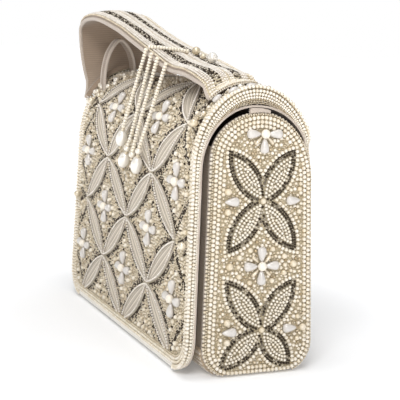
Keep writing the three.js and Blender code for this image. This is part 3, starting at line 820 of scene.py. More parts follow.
def strung_glass():
    # Lustred cream glass bead on the strings: pale with golden ones among them, wet gloss.
    return toned_bead(
        "cream_lustre_bead", "gold_light", "pearl_light",
        Roughness=0.2, IOR=1.52, Coat_Weight=0.5, Coat_Roughness=0.08,
    )


def chalk_seed():
    # Opaque off-white glass seed bead: cool white beside the ivory pearls, soft gloss.
    return toned_bead("chalk_seed_bead", "piping", "chalk", Roughness=0.35, IOR=1.52)


def steel_seed():
    # Steel-grey metallic seed bead: most are dark, a few pale silver; their paleness also stands in for
    # glints, a painted highlight.
    material, tree, shader = new_material("steel_seed_bead", Metallic=0.7, Roughness=0.34)
    tone = add_node(tree, "ShaderNodeAttribute", attribute_name="tone")
    bright = add_node(
        tree, "ShaderNodeMapRange",
        {0: tone.outputs["Fac"], 1: 0.58, 2: 0.9}, interpolation_type="SMOOTHSTEP",
    )
    mix = add_node(
        tree, "ShaderNodeMix",
        {0: bright.outputs[0], 6: rgba("steel_deep"), 7: rgba("steel_light")}, data_type="RGBA",
    )
    tree.links.new(mix.outputs[2], shader.inputs["Base Color"])
    return material


# Sizes of the patterns in the materials, in millimetres. The cord's twist and the cloths' ribs are
# finer on the real ones, and are drawn as coarse as they need to be to show.
OPAL_CLOUD = 3.846
CORD_TWIST = 1.111
CLOTH_SLUB = 8.333


def milk_opal():
    # Milky glass drop: white, with faintly darker clouds and a wet gloss.
    material, tree, shader = new_material(
        "milk_opal_glass", Roughness=0.16, IOR=1.5, Coat_Weight=0.6, Coat_Roughness=0.06
    )
    place = add_node(tree, "ShaderNodeTexCoord")
    cloud = add_node(
        tree, "ShaderNodeTexNoise",
        {"Vector": place.outputs["Object"], "Scale": 1 / (OPAL_CLOUD * MM), "Detail": 3.0},
    )
    white = rgba("opal")
    cloudy = dimmed(white, 0.82, 0.83, 0.85)
    mix = add_node(
        tree, "ShaderNodeMix", {0: cloud.outputs["Fac"], 6: cloudy, 7: white}, data_type="RGBA"
    )
    tree.links.new(mix.outputs[2], shader.inputs["Base Color"])
    return material


def silk_cord():
    # Twisted rayon cords couched side by side: satin ridges, painted shade in the valleys between them,
    # a fine twist.
    material, tree, shader = new_material(
        "twisted_silk_cord", Roughness=0.5, Sheen_Weight=0.2, Sheen_Roughness=0.4
    )
    place = add_node(tree, "ShaderNodeTexCoord")
    twist = add_node(
        tree, "ShaderNodeTexNoise",
        {"Vector": place.outputs["Object"], "Scale": 1 / (CORD_TWIST * MM), "Detail": 2.0},
    )
    ridge = add_node(tree, "ShaderNodeAttribute", attribute_name="tone")
    depth = add_node(
        tree, "ShaderNodeMapRange",
        {0: ridge.outputs["Fac"], 1: 0.0, 2: 0.75}, interpolation_type="SMOOTHSTEP",
    )
    base = rgba("cord")
    # Painted shade: the valleys between the cords take this darker colour.
    shade = dimmed(base, 0.45, 0.42, 0.37)
    dull = dimmed(base, 0.86, 0.84, 0.81)
    grain = add_node(
        tree, "ShaderNodeMix", {0: twist.outputs["Fac"], 6: dull, 7: base}, data_type="RGBA"
    )
    mix = add_node(
        tree, "ShaderNodeMix",
        {0: depth.outputs[0], 6: shade, 7: grain.outputs[2]}, data_type="RGBA",
    )
    bump = add_node(
        tree, "ShaderNodeBump",
        {"Height": twist.outputs["Fac"], "Strength": 0.5, "Distance": 0.0003},
    )
    tree.links.new(mix.outputs[2], shader.inputs["Base Color"])
    tree.links.new(bump.outputs[0], shader.inputs["Normal"])
    return material


def woven_cloth(name, hue, rib_mm, axis):
    """Ribbed cloth with threads every rib_mm along an axis."""
    material, tree, shader = new_material(name, Roughness=0.85, Sheen_Weight=0.3, Sheen_Roughness=0.5)
    place = add_node(tree, "ShaderNodeTexCoord")
    ribs = add_node(
        tree, "ShaderNodeTexWave",
        {"Vector": place.outputs["Object"], "Scale": math.pi / 10 / (rib_mm * MM),
         "Distortion": 1.2, "Detail": 2.0, "Detail Scale": 3.0},
        bands_direction=axis,
    )
    slub = add_node(
        tree, "ShaderNodeTexNoise",
        {"Vector": place.outputs["Object"], "Scale": 1 / (CLOTH_SLUB * MM), "Detail": 4.0},
    )
    base = rgba(hue)
    shade = dimmed(base, 0.72, 0.7, 0.68)
    both = add_node(
        tree, "ShaderNodeMath", {0: ribs.outputs["Fac"], 1: slub.outputs["Fac"]}, operation="MULTIPLY"
    )
    mix = add_node(
        tree, "ShaderNodeMix", {0: both.outputs[0], 6: shade, 7: base}, data_type="RGBA"
    )
    bump = add_node(
        tree, "ShaderNodeBump",
        {"Height": ribs.outputs["Fac"], "Strength": 0.35, "Distance": 0.0002},
    )
    tree.links.new(mix.outputs[2], shader.inputs["Base Color"])
    tree.links.new(bump.outputs[0], shader.inputs["Normal"])
    return material


def taupe_grosgrain():
    # Grosgrain: dull ribbed lining, ribs drawn at 1.6 mm so that they show.
    return woven_cloth("taupe_grosgrain", "taupe", 1.6, "Z")


def taupe_twill_painted_paler():
    # Twill: the plain cloth of the body, a little paler than the lining; the paleness is painted light,
    # standing in for light on the body's shaded walls.
    return woven_cloth("taupe_twill_painted_paler", "shell", 1.6, "Z")


def satin_piping():
    # Satin piping over a cord: smooth, pale, with a fine thread.
    return woven_cloth("satin_piping", "piping", 0.9, "X")


def organza_ground():
    # Organza ground: thin gold-beige cloth that shows only between the beads.
    return woven_cloth("champagne_ground_cloth", "ground", 0.8, "Z")


MAKERS = {
    "pearl": imitation_pearl,
    "nacre": nacre_pearl,
    "gold": champagne_seed,
    "chalk": chalk_seed,
    "steel": steel_seed,
    "strung": strung_glass,
    "opal": milk_opal,
    "cord": silk_cord,
    "taupe": taupe_grosgrain,
    "shell": taupe_twill_painted_paler,
    "piping": satin_piping,
    "ground": organza_ground,
}
MATERIALS = {}


def finish(name):
    """One of the bag's materials, made when it is first asked for."""
    if name not in MATERIALS:
        MATERIALS[name] = MAKERS[name]()
    return MATERIALS[name]


# Cover.

# Width of the cover's border, and its rows: distance inside the outline and radius of the pearls,
# then the distance of the gold row.
BORDER = 9.2
BORDER_PEARLS = [{"gap": 1.4, "r": 1.25}, {"gap": 3.85, "r": 1.25}, {"gap": 6.1, "r": 1.1}]
BORDER_GOLD_GAP = 7.9
# Step at which the edges of the cover and the panels are followed.
EDGE_STEP = 0.8
# How close beads sit in a row: pitch in radii, and least distance as a share of both radii.
ROW_PITCH = 2.06
ROW_SQUEEZE = 0.8
HEM_CORDS = (0.8, 2.3)
HEM_EDGE_SHARES = (0.2, 0.5, 0.8)
HEM_CORD_R = 0.85
# Opal ovals beside the handle's right foot, by x and y, and the room that each needs.
SEAM_OPALS = [(108, -29), (112.5, -20), (115, -9)]
SEAM_OPAL_STEP = 2.2
SEAM_OPAL_ROOM = 2.7
# Larger pearls on the arched top, near the keeper loop and beside the right foot, by x, y and radius.
TOP_PEARLS = [
    {"x": -112, "y": -37.5, "r": 2.5}, {"x": -98, "y": -33, "r": 2.3}, {"x": -95, "y": -27, "r": 2.6},
    {"x": -104, "y": -39, "r": 2.2}, {"x": -96, "y": -20, "r": 2.2}, {"x": -95, "y": -13, "r": 2.4},
    {"x": -90, "y": -30, "r": 2.0}, {"x": -88, "y": -22, "r": 2.1}, {"x": -112, "y": -43, "r": 2.2},
    {"x": -89, "y": -16, "r": 1.9}, {"x": -95, "y": -6, "r": 2.3}, {"x": 108, "y": -38, "r": 1.9},
    {"x": 110, "y": -25, "r": 1.9}, {"x": 110, "y": -14, "r": 2.0}, {"x": 111, "y": -1, "r": 2.0},
    {"x": 111, "y": 6, "r": 2.1}, {"x": 110, "y": 13, "r": 2.0}, {"x": -117.8, "y": -42.4, "r": 3.1},
    {"x": -116.8, "y": -37.9, "r": 2.7}, {"x": -115.8, "y": -33.6, "r": 2.9},
    {"x": -114.8, "y": -29.4, "r": 2.6}, {"x": -109.5, "y": -34, "r": 2.6},
]
# Room of a flower on the flap: its heart, then circles under each drop by reach and radius.
FLAP_HEART_ROOM = 3.4
FLAP_DROP_ROOM = [{"reach": 5.2, "r": 2.2}, {"reach": 9.6, "r": 2.9}]
# Columns and rows that petals start from; some of them lie outside the sheet.
LATTICE_COLUMNS = range(-1, 5)
LATTICE_ROWS = range(-7, 6)
# Corded petals: mesh steps, height of the crown and of a cord's ridge, tone of each second cord,
# how deep the petal sits in the cloth and how far it runs under the border.
PETAL_CORDS = 7
PETAL_STEPS = 20
CORD_STEPS = 4
PETAL_CROWN = 1.3
CORD_RIDGE = 0.8
BEIGE_CORD = 0.42
PETAL_SINK = 0.3
PETAL_UNDER_BORDER = 1.5
# Row of seed beads on a petal's edge, and rows round it: distance outside it and share of dark beads.
PETAL_OUTLINE = {"offset": -0.75, "pitch": 2.05, "radius": 0.95, "lift": 1.0, "squeeze": 0.85}
PETAL_BANDS = [(1.25, 0.95), (2.55, 0.75), (3.85, 0.5), (5.1, 0.2)]
BAND_PITCH = 2.02
# Room between a petal and the rows or ground beads of the next, and how far these go into the border.
BAND_MARGIN = 0.6
BAND_UNDER_BORDER = 0.8
GROUND_MARGIN = 0.3
GROUND_UNDER_BORDER = 1.4
GROUND_SHAKE = 0.16
# Ground beads from coarse to fine. The finest end a little behind the top, where they stop showing.
COVER_GROUND = [
    {"spacing": 7.0, "radii": (1.4, 1.9), "mix": {"pearl": 0.7, "gold": 0.3}, "end": COVER_END_S},
    {
        "spacing": 2.1, "radii": (0.85, 1.1), "mix": {"gold": 0.44, "seed": 0.44, "steel": 0.12},
        "end": COVER_END_S,
    },
    {
        "spacing": 1.4, "radii": (0.55, 0.75), "mix": {"gold": 0.5, "seed": 0.35, "steel": 0.15},
        "end": COVER_TOP_S + 25,
    },
]
COVER_LOOKS = {
    "pearl": "pearl", "stone": "nacre", "seed": "pearl", "gold": "gold", "steel": "steel",
    "chalk": "chalk",
}


def cover_spot(x, y):
    """The flat sheet's place above a point of the arched top."""
    arched = (PROFILE["s"] > SPRING_Z) & (PROFILE["z"] > SPRING_Z)
    i = np.flatnonzero(arched)[np.argmin(np.abs(PROFILE["y"][arched] - y))]
    return x * HALF_SHEET / float(half_length(PROFILE["z"][i])), PROFILE["s"][i]


def lattice(column, row):
    """A lattice point on the flat sheet."""
    return np.array([(2 - column) * LATTICE_DX, LATTICE_TOP_S - row * LATTICE_DS])


def lattice_petals():
    """Petals between diagonal neighbours; those that leave the sheet's sides are open-ended."""
    width = millimetres("petal")
    petals = []
    for column in LATTICE_COLUMNS:
        for row in LATTICE_ROWS:
            if (column + row) % 2:
                continue
            for step in (1, -1):
                outside = column < 0 or column > 3
                petal = Petal(lattice(column, row), lattice(column + 1, row + step), width, outside)
                middle = petal.flat(petal.length * np.linspace(0.1, 0.9, 9), np.zeros(9))
                if np.any(cover_gap(middle[:, 0], middle[:, 1]) > BORDER):
                    petals.append(petal)
    return petals


def petal_mesh(petals):
    """Corded lenses: crowned, a ridge for each cord, closed underneath; and each point's tone: painted
    shade in the valleys between cords, beige on each second cord.
    """
    columns = PETAL_CORDS * CORD_STEPS
    points, faces, tones = [], [], []
    t = np.linspace(0, 1, PETAL_STEPS + 1)
    d = np.linspace(-1, 1, columns + 1)
    ridge = np.abs(np.sin(d * math.pi * PETAL_CORDS / 2 + math.pi / 2 * (PETAL_CORDS % 2)))
    rise = PETAL_CROWN * (1 - d**2) ** 0.6 + CORD_RIDGE * ridge * (1 - d**6)
    cord = np.minimum(np.arange(columns + 1) // CORD_STEPS, PETAL_CORDS - 1)
    # Painted shade in the valleys between cords, by the ridge's height, times the beige colour of each
    # second cord.
    pale = ridge * np.where(cord % 2, BEIGE_CORD, 1.0)
    n = columns + 1
    i, j = np.meshgrid(np.arange(PETAL_STEPS), np.arange(columns), indexing="ij")
    for petal in petals:
        along = t * petal.length
        line = petal.flat(along, np.zeros_like(along))
        inside = cover_gap(line[:, 0], line[:, 1]) > BORDER - PETAL_UNDER_BORDER
        low, high = along[inside].min(), along[inside].max()
        along = low + t * (high - low)
        half = petal.half_width(along)
        share = np.clip(half / petal.half, 0, 1) ** 0.7
        flat = petal.flat(np.repeat(along, n), np.outer(half, d).ravel())
        lift = (np.outer(share, rise) - CLOTH_DEPTH - PETAL_SINK).ravel()
        base = len(points) * n * (PETAL_STEPS + 1)
        points.append(cover_place(flat[:, 0], flat[:, 1], lift)[0])
        tones.append(np.tile(pale, PETAL_STEPS + 1))
        a = base + (i * n + j).ravel()
        faces += np.stack([a, a + n, a + n + 1, a + 1], -1).tolist()
        edge = base + np.arange(PETAL_STEPS) * n
        faces += np.stack([edge, edge + columns, edge + n + columns, edge + n], -1).tolist()
        for row in (0, PETAL_STEPS):
            if half[row] > 0.1:
                end = base + row * n + np.arange(n)
                faces.append(end.tolist())
    return np.concatenate(points), faces, np.concatenate(tones)


def sew_cover_cloth():
    """The cover's cloth: ground under the beads, lining on its inner side."""
    cloth = node_copy("cover_cloth", "cover_flap", CLOTH_DEPTH)
    cloth.data.materials.append(finish("ground"))
    cloth.data.materials.append(finish("taupe"))
    line = np.stack([PROFILE["y"], PROFILE["z"]], -1) * MM
    for face in cloth.data.polygons:
        near = np.linalg.norm(line - np.array(face.center[1:]), axis=1).argmin()
        facing = PROFILE["ny"][near] * face.normal.y + PROFILE["nz"][near] * face.normal.z
        face.material_index = int(facing < -0.5)
    dressed(cloth, "beadwork", "cover_flap")


def couch_petals(petals):
    """The corded petals, as one piece."""
    points, faces, tones = petal_mesh(petals)
    mesh = bpy.data.meshes.new("cover_petals")
    mesh.from_pydata((points * MM).tolist(), [], faces)
    corded = new_object("cover_petals", with_tone(mesh, tones))
    edit_merged(corded, 0.01)
    bpy.ops.mesh.normals_make_consistent(inside=False)
    bpy.ops.object.mode_set(mode="OBJECT")
    bpy.ops.object.shade_smooth()
    corded.data.materials.append(finish("cord"))
    dressed(corded, "beadwork")


def cover_bed(petals, rng):
    """The flat pattern of the cover's beads."""
    bed = Bed()
    for spot in SEAM_OPALS:
        p, s = cover_spot(*spot)
        bed.spare([(p, s - SEAM_OPAL_STEP), (p, s + SEAM_OPAL_STEP)], SEAM_OPAL_ROOM)
    for spot in TOP_PEARLS:
        bed.lay("stone", cover_spot(spot["x"], spot["y"]), spot["r"])
    rows = [(row["gap"], "pearl", row["r"]) for row in BORDER_PEARLS]
    rows.append((BORDER_GOLD_GAP, "gold", millimetres("gold") / 2))
    for gap, kind, radius in rows:
        row = spaced(cover_outline(gap), radius * ROW_PITCH)
        if gap < HEM_CORDS[-1]:
            row = row[(row[:, 1] > FLAP_CORNER_R) | (np.abs(row[:, 0]) > HALF_SHEET - FLAP_CORNER_R)]
        bed.lay(kind, row, radius, squeeze=ROW_SQUEEZE)
    for place in FLAP_FLOWERS:
        bed.lay(None, lattice(*place), FLAP_HEART_ROOM)
        bed.spare_rays(lattice(*place), QUARTERS, FLAP_DROP_ROOM)

    def clear(points, petal):
        keep = cover_gap(points[:, 0], points[:, 1]) > BORDER - BAND_UNDER_BORDER
        for other in petals:
            if other is not petal:
                keep &= ~other.holds(points, BAND_MARGIN)
        return points[keep]

    steel = millimetres("steel") / 2
    for petal in petals:
        if not petal.open_ended:
            row = PETAL_OUTLINE
            places = clear(petal.rows(row["offset"], row["pitch"]), petal)
            bed.lay("chalk", places, row["radius"], lift=row["lift"], squeeze=row["squeeze"])
        for offset, share in PETAL_BANDS:
            places = clear(petal.rows(offset, steel * BAND_PITCH), petal)
            dark = rng.random(len(places)) < share
            bed.lay("steel", places[dark], steel, squeeze=ROW_SQUEEZE)
            bed.lay("gold", places[~dark], steel, squeeze=ROW_SQUEEZE)

    def free(spots):
        keep = cover_gap(spots[:, 0], spots[:, 1]) > BORDER - GROUND_UNDER_BORDER
        for petal in petals:
            if not petal.open_ended:
                keep &= ~petal.holds(spots, GROUND_MARGIN)
        return keep

    for filling in COVER_GROUND:
        up = (FLAP_BOTTOM, filling["end"])
        bed.scatter(rng, (-HALF_SHEET, HALF_SHEET), up, GROUND_SHAKE, free, filling)
    return bed


def sew_cover_beads(bed, rng):
    """The cover's beads, a piece for each kind in front and behind, plainer behind."""
    large = {"pearl": ROUND_BEAD, "stone": STONE_BEAD}
    for kind, look in COVER_LOOKS.items():
        a, b, radii, lift = bed.of(kind)
        front = b <= COVER_TOP_S
        for label, mine, small in (("front", front, TINY_BEAD), ("back", ~front, PLAIN_BEAD)):
            if not mine.any():
                continue
            depth = CLOTH_DEPTH + BEAD_SINK * radii[mine]
            where, normals = cover_place(a[mine], b[mine], lift[mine] - depth)
            piece = sewn_beads(
                f"cover_{kind}_beads_{label}", large.get(kind, small), where, normals, radii[mine],
                finish(look), rng, DARK_TONES if kind == "steel" else PEARL_TONES,
            )
            dressed(piece, "beadwork")


def build_cover():
    """The cover's cloth, corded petals, beads, edges and hem."""
    rng = np.random.default_rng(SEED)
    sew_cover_cloth()
    petals = lattice_petals()
    couch_petals([petal for petal in petals if not petal.open_ended])
    sew_cover_beads(cover_bed(petals, rng), rng)
    build_cover_edges(rng)
    build_hem()


def edge_frame():
    """The cover's outline in space: points, normals, directions out of the sheet, thickness."""
    path = spaced(cover_outline(0), EDGE_STEP)
    ahead = np.gradient(path, axis=0)
    out = unit(np.stack([-ahead[:, 1], ahead[:, 0]], -1))
    s = path[:, 1]
    point, normal = cover_place(path[:, 0], s)
    rise = np.stack([np.zeros(len(s)), on_profile("nz", s), -on_profile("ny", s)], -1)
    outward = out[:, :1] * [[1, 0, 0]] + out[:, 1:] * rise
    return point, normal, outward, on_profile("t", s)


# Rows on the cover's edge: kind, tilt to its face, then the share of the thickness and the
# radius where the edge is thin and where it is thick.
EDGE_ROWS = [
    ("pearl", 0.7, (0.05, 0.04), (1.3, 1.3)),
    ("pearl", 0.0, (0.4, 0.21), (1.1, 1.2)),
    ("pearl", 0.0, (0.66, 0.375), (0.65, 1.05)),
    ("pearl", 0.0, (0.78, 0.525), (0.5, 0.95)),
    ("gold", 0.0, (0.86, 0.64), (0.45, 0.6)),
    ("gold", 0.0, (0.91, 0.725), (0.42, 0.58)),
    ("gold", 0.0, (0.94, 0.805), (0.42, 0.55)),
    ("steel", 0.0, (0.97, 0.875), (0.42, 0.42)),
]
# Least radius and pitch of these rows, and how deep they and the rims' rows start in the edge.
EDGE_MIN_R = 0.42
EDGE_PITCH = 2.05
EDGE_SINK = GROUND * 0.8
# The edge's pearls are paler than those of the face, which also weakens the painted shade at their feet;
# its gold beads deeper.
EDGE_TONES = {"pearl": (0.7, 1.15), "gold": (0.1, 0.9), "steel": (0, 1)}
EDGE_PIPING_R = 0.75
EDGE_PIPING_INSET = 0.6


def build_cover_edges(rng):
    """Bead rows and piping on the cover's thick edge, from its face to its lining."""
    point, normal, outward, thickness = edge_frame()
    beads = {"pearl": [], "gold": [], "steel": []}
    thick = np.clip((thickness - FLAP_T) / (APEX_T - FLAP_T), 0, 1)
    thin = np.minimum(thickness / FLAP_T, 1)
    for kind, tilt, shares, radii in EDGE_ROWS:
        share = shares[0] + (shares[1] - shares[0]) * thick
        radius = np.maximum((radii[0] + (radii[1] - radii[0]) * thick) * thin, EDGE_MIN_R)
        line = point - normal * (share * thickness)[:, None] - outward * EDGE_SINK
        length = running_length(line)
        at, last = [], 0.0
        while last < length[-1]:
            at.append(last)
            last += EDGE_PITCH * float(np.interp(last, length, radius))
        take = np.interp(at, length, np.arange(len(line))).round().astype(int)
        facing = unit(outward + tilt * normal)
        where = np.stack([np.interp(at, length, column) for column in line.T], -1)
        keep = ~on_hem(where)
        beads[kind].append((where[keep], facing[take][keep], radius[take][keep]))
    for kind, rows in beads.items():
        where, facing, radius = (np.concatenate(column) for column in zip(*rows))
        shape = ROUND_BEAD if kind == "pearl" else TINY_BEAD
        name = f"cover_edge_{kind}_beads"
        piece = sewn_beads(name, shape, where, facing, radius, finish(kind), rng, EDGE_TONES[kind])
        dressed(piece, "beadwork")
    edge = point - normal * (thickness - EDGE_PIPING_INSET)[:, None] - outward * EDGE_PIPING_INSET
    dressed(tube("cover_edge_piping", [edge[::3]], EDGE_PIPING_R, finish("piping")), "taupe_fabric")


def on_hem(points):
    """True for points on the straight part of the flap's lower edge."""
    low = (points[:, 2] < FLAP_CORNER_R) & (points[:, 1] < 0)
    return low & (np.abs(points[:, 0]) < half_length(0) - FLAP_CORNER_R)


def build_hem():
    """Plain cords along the flap's lower edge."""
    reach = HALF_SHEET - FLAP_CORNER_R
    across = np.linspace(-reach, reach, 120)
    paths = [cover_place(across, FLAP_BOTTOM + gap, -HEM_CORD_R / 2)[0] for gap in HEM_CORDS]
    point, normal, outward, thickness = edge_frame()
    low = on_hem(point)
    for share in HEM_EDGE_SHARES:
        line = point - normal * (share * thickness)[:, None] - outward * HEM_CORD_R / 2
        paths.append(line[low][::2])
    dressed(tube("flap_hem_cords", paths, HEM_CORD_R, finish("chalk")), "cream_fabric")


class BAG_OT_cover(bpy.types.Operator):
    """Sew the cover: cloth, corded lattice, seed beads and edge rows"""

    bl_idname = "beaded_bag.cover"
    bl_label = "Cover and flap"

    def execute(self, context):
        build_cover()
        return {"FINISHED"}


# End panels.

PANEL_PETAL_WIDTH = 11.6
PANEL_CENTRE_GAP = 1.5
PANEL_CENTRE_PEARL_R = 2.0
# Pearl rows along the outline: distance inside it, and the lowest height of the innermost.
PANEL_BORDERS = {"outer": 2.7, "middle": 5.5, "inner": 8.3}
PANEL_INNER_LOWEST = 120
PANEL_BORDER_PITCH = 1.98
# Crossings: place of the centre, and each petal's tip from it, as (y, z).
PANEL_CROSSINGS = [
    {"y": 0.2, "z": 115.2, "tips": [(-21.7, 28.9), (20.1, 29.3), (-22.2, -29.5), (22.3, -29.3)]},
    {"y": 1.4, "z": 29.9, "tips": [(-23.8, 30.6), (21.7, 29.2), (-26.8, -21.8), (19, -23)]},
]
# Pearls round a crossing's sides and round the middle flower: place from its centre, and radius.
CROSSING_PEARLS = [
    {"y": -25.4, "z": 6.5, "r": 2.4}, {"y": -25.2, "z": -6.6, "r": 2.3}, {"y": 30.6, "z": 0, "r": 2.5},
    {"y": 26.8, "z": 7.4, "r": 1.7}, {"y": 26.8, "z": -7.4, "r": 1.7},
]
FLOWER_PEARLS = [
    {"y": -23, "z": 0.5, "r": 2.4}, {"y": 23.6, "z": 0.5, "r": 2.4}, {"y": -15.9, "z": 6.1, "r": 1.9},
    {"y": 16.9, "z": 5.8, "r": 1.9}, {"y": -16, "z": -6.4, "r": 1.9}, {"y": 16.9, "z": -5.2, "r": 1.9},
    {"y": -8.3, "z": 10.6, "r": 1.8}, {"y": 8.1, "z": 10.8, "r": 1.8}, {"y": -8.3, "z": -10.6, "r": 1.8},
    {"y": 8.1, "z": -10, "r": 1.8}, {"y": -16.6, "z": 0, "r": 1.6}, {"y": 17.6, "z": 0, "r": 1.6},
]
# Room of a flower and of a single drop: heart, then circles under each drop by reach and radius.
PANEL_HEART_ROOM = 3.3
PANEL_DROP_ROOM = [{"reach": 5.2, "r": 2.1}, {"reach": 9.4, "r": 2.8}]
SLIM_DROP_ROOM = [{"reach": 6.4, "r": 1.4}]
SIDE_STONE_STEP = 2.4
SIDE_STONE_ROOM = 2.6
# Rows of a petal: distance outside its edge, kind and radius. Those inside rise to its middle.
PANEL_PETAL_ROWS = [
    {"offset": -1.15, "kind": "seed", "r": 1.2}, {"offset": -3.4, "kind": "seed", "r": 1.15},
    {"offset": -5.6, "kind": "seed", "r": 1.1}, {"offset": 1.05, "kind": "steel", "r": 1.0},
    {"offset": 2.75, "kind": "steel", "r": 0.8}, {"offset": 4.6, "kind": "pearl", "r": 1.4},
]
PANEL_ROW_OVERLAP = 0.3
PANEL_ROW_PITCH = 2.04
PANEL_ROW_SQUEEZE = 0.82
PANEL_ROW_EDGE = 4.2
PANEL_PETAL_LIFT = 0.3
PANEL_PETAL_RISE = 0.22
# Tiny beads that fill the petals between their rows: spacing, radius, lift and room at the edge,
# then the part of the panel, y and z, in which the petals lie.
PETAL_FILLING = {"across": 1.1, "up": 1.0, "radius": 0.7, "lift": 0.8, "margin": 0.9}
PETAL_SPAN = {"y": (-34, 34), "z": (5, 150)}
PANEL_SPAN = {"y": (-40, 40), "z": (0, PANEL_TOP_Z)}
PANEL_GROUND_EDGE = 4
PANEL_GROUND_SHAKE = 0.15
PANEL_GROUND = [
    {"spacing": 2.9, "radii": (1.1, 1.45), "mix": {"pearl": 0.6, "gold": 0.4}},
    {"spacing": 1.5, "radii": (0.8, 1.05), "mix": {"gold": 0.75, "seed": 0.25}},
    {"spacing": 0.9, "radii": (0.5, 0.7), "mix": {"gold": 0.8, "seed": 0.2}},
]
PANEL_BEADS = {
    "pearl": {"shape": ROUND_BEAD, "look": "pearl", "tones": PEARL_TONES},
    "stone": {"shape": STONE_BEAD, "look": "pearl", "tones": (0.3, 0.6)},
    "seed": {"shape": SEED_BEAD, "look": "pearl", "tones": (0.7, 1)},
    "gold": {"shape": TINY_BEAD, "look": "gold", "tones": (0, 1)},
    "steel": {"shape": SEED_BEAD, "look": "steel", "tones": (0, 1)},
}
# Bead rows on a panel's rim: depth behind its face, tilt to the face and radius.
PANEL_RIM_ROWS = {
    "gold": {"shape": TINY_BEAD, "depth": 0.9, "tilt": 0.75, "radius": 0.85},
    "pearl": {"shape": ROUND_BEAD, "depth": 2.9, "tilt": 0.0, "radius": 1.3},
}
PANEL_PIPING_R = 1.0
PANEL_PIPING_DEPTH = PANEL_T - 0.9
PANEL_PIPING_SINK = 0.4
PANEL_PIPING_LOWEST = 1.1


def spare_panel_stones(bed):
    """Lays the larger pearls, and keeps free the places of the flowers and drops."""
    for flower in PANEL_FLOWERS.values():
        centre = np.array([0, flower["z"]])
        bed.lay(None, centre, PANEL_HEART_ROOM)
        bed.spare_rays(centre, flower["drops"], PANEL_DROP_ROOM)
        bed.spare_rays(centre, flower["slim"], SLIM_DROP_ROOM)
    for spot in FLOWER_PEARLS:
        bed.lay("stone", (spot["y"], PANEL_FLOWERS["middle"]["z"] + spot["z"]), spot["r"])
    for crossing in PANEL_CROSSINGS:
        centre = np.array([crossing["y"], crossing["z"]])
        for y in SIDE_STONE_Y.values():
            for step in (-SIDE_STONE_STEP, SIDE_STONE_STEP):
                bed.spare((y + step, crossing["z"]), SIDE_STONE_ROOM)
        for spot in CROSSING_PEARLS:
            bed.lay("stone", centre + [spot["y"], spot["z"]], spot["r"])
        bed.lay("stone", centre, PANEL_CENTRE_PEARL_R)


def panel_petals():
    """The petals of both crossings, from near the centre to their tips."""
    petals = []
    for crossing in PANEL_CROSSINGS:
        centre = np.array([crossing["y"], crossing["z"]])
        for tip in crossing["tips"]:
            start = centre + np.array(tip) / np.hypot(*tip) * PANEL_CENTRE_GAP
            petals.append(Petal(start, centre + tip, PANEL_PETAL_WIDTH))
    return petals


def panel_bed(rng):
    """The flat pattern of an end panel's beads."""
    bed = Bed()
    pearl = millimetres("pearl") / 2

    def border(which, lowest=0.0):
        row = spaced(panel_outline(PANEL_BORDERS[which]), pearl * PANEL_BORDER_PITCH, closed=True)
        bed.lay("pearl", row[row[:, 1] > lowest], pearl, squeeze=ROW_SQUEEZE)

    border("outer")
    spare_panel_stones(bed)
    petals = panel_petals()
    for row in PANEL_PETAL_ROWS:
        offset, kind, radius = row["offset"], row["kind"], row["r"]
        for petal in petals:
            places = petal.rows(offset, radius * PANEL_ROW_PITCH)
            keep = np.ones(len(places), bool)
            for other in petals:
                if other is not petal:
                    keep &= ~other.holds(places, offset - PANEL_ROW_OVERLAP)
            if kind != "seed":
                keep &= panel_gap(places) > PANEL_ROW_EDGE
            lift = PANEL_PETAL_LIFT - PANEL_PETAL_RISE * offset if kind == "seed" else 0.0
            bed.lay(kind, places[keep], radius, lift=lift, squeeze=PANEL_ROW_SQUEEZE)
    across = np.arange(*PETAL_SPAN["y"], PETAL_FILLING["across"])
    a, b = np.meshgrid(across, np.arange(*PETAL_SPAN["z"], PETAL_FILLING["up"]))
    a[1::2] += PETAL_FILLING["across"] / 2
    spots = np.stack([a.ravel(), b.ravel()], -1)
    inside = np.any([petal.holds(spots, -PETAL_FILLING["margin"]) for petal in petals], axis=0)
    radius, lift = PETAL_FILLING["radius"], PETAL_FILLING["lift"]
    bed.lay("seed", spots[inside], radius, lift=lift, squeeze=ROW_SQUEEZE)
    border("middle")
    border("inner", PANEL_INNER_LOWEST)

    def free(spots):
        keep = panel_gap(spots) > PANEL_GROUND_EDGE
        for petal in petals:
            keep &= ~petal.holds(spots)
        return keep

    for filling in PANEL_GROUND:
        bed.scatter(rng, PANEL_SPAN["y"], PANEL_SPAN["z"], PANEL_GROUND_SHAKE, free, filling)
    return bed


def panel_gap(points):
    """How far points (y, z) lie inside an end panel's outline, about."""
    y, z = np.asarray(points, float).T
    side = half_depth(z) - np.abs(y)
    radius = np.where(y < 0, PANEL_FRONT_CORNER_R, PANEL_BACK_CORNER_R)
    in_y, in_z = radius - side, radius - z
    gap = np.where((in_y > 0) & (in_z > 0), radius - np.hypot(in_y, in_z), np.minimum(side, z))
    front = y < PANEL_APEX_Y
    reach = half_depth(SPRING_Z) + np.where(front, PANEL_APEX_Y, -PANEL_APEX_Y)
    rise = np.where(front, PANEL_FRONT_ARCH, PANEL_BACK_ARCH)
    over = z - PANEL_TOP_Z + rise
    arched = (1 - np.hypot((y - PANEL_APEX_Y) / reach, over / rise)) * np.minimum(reach, rise)
    return np.where(over > 0, arched, gap)


def panel_rim():
    """An end panel's outline (y, z), and the directions out of it in space."""
    rim = spaced(panel_outline(0), EDGE_STEP, closed=True)
    ahead = np.roll(rim, -1, 0) - np.roll(rim, 1, 0)
    out = unit(np.stack([ahead[:, 1], -ahead[:, 0]], -1))
    return rim, np.hstack([np.zeros((len(rim), 1)), out])


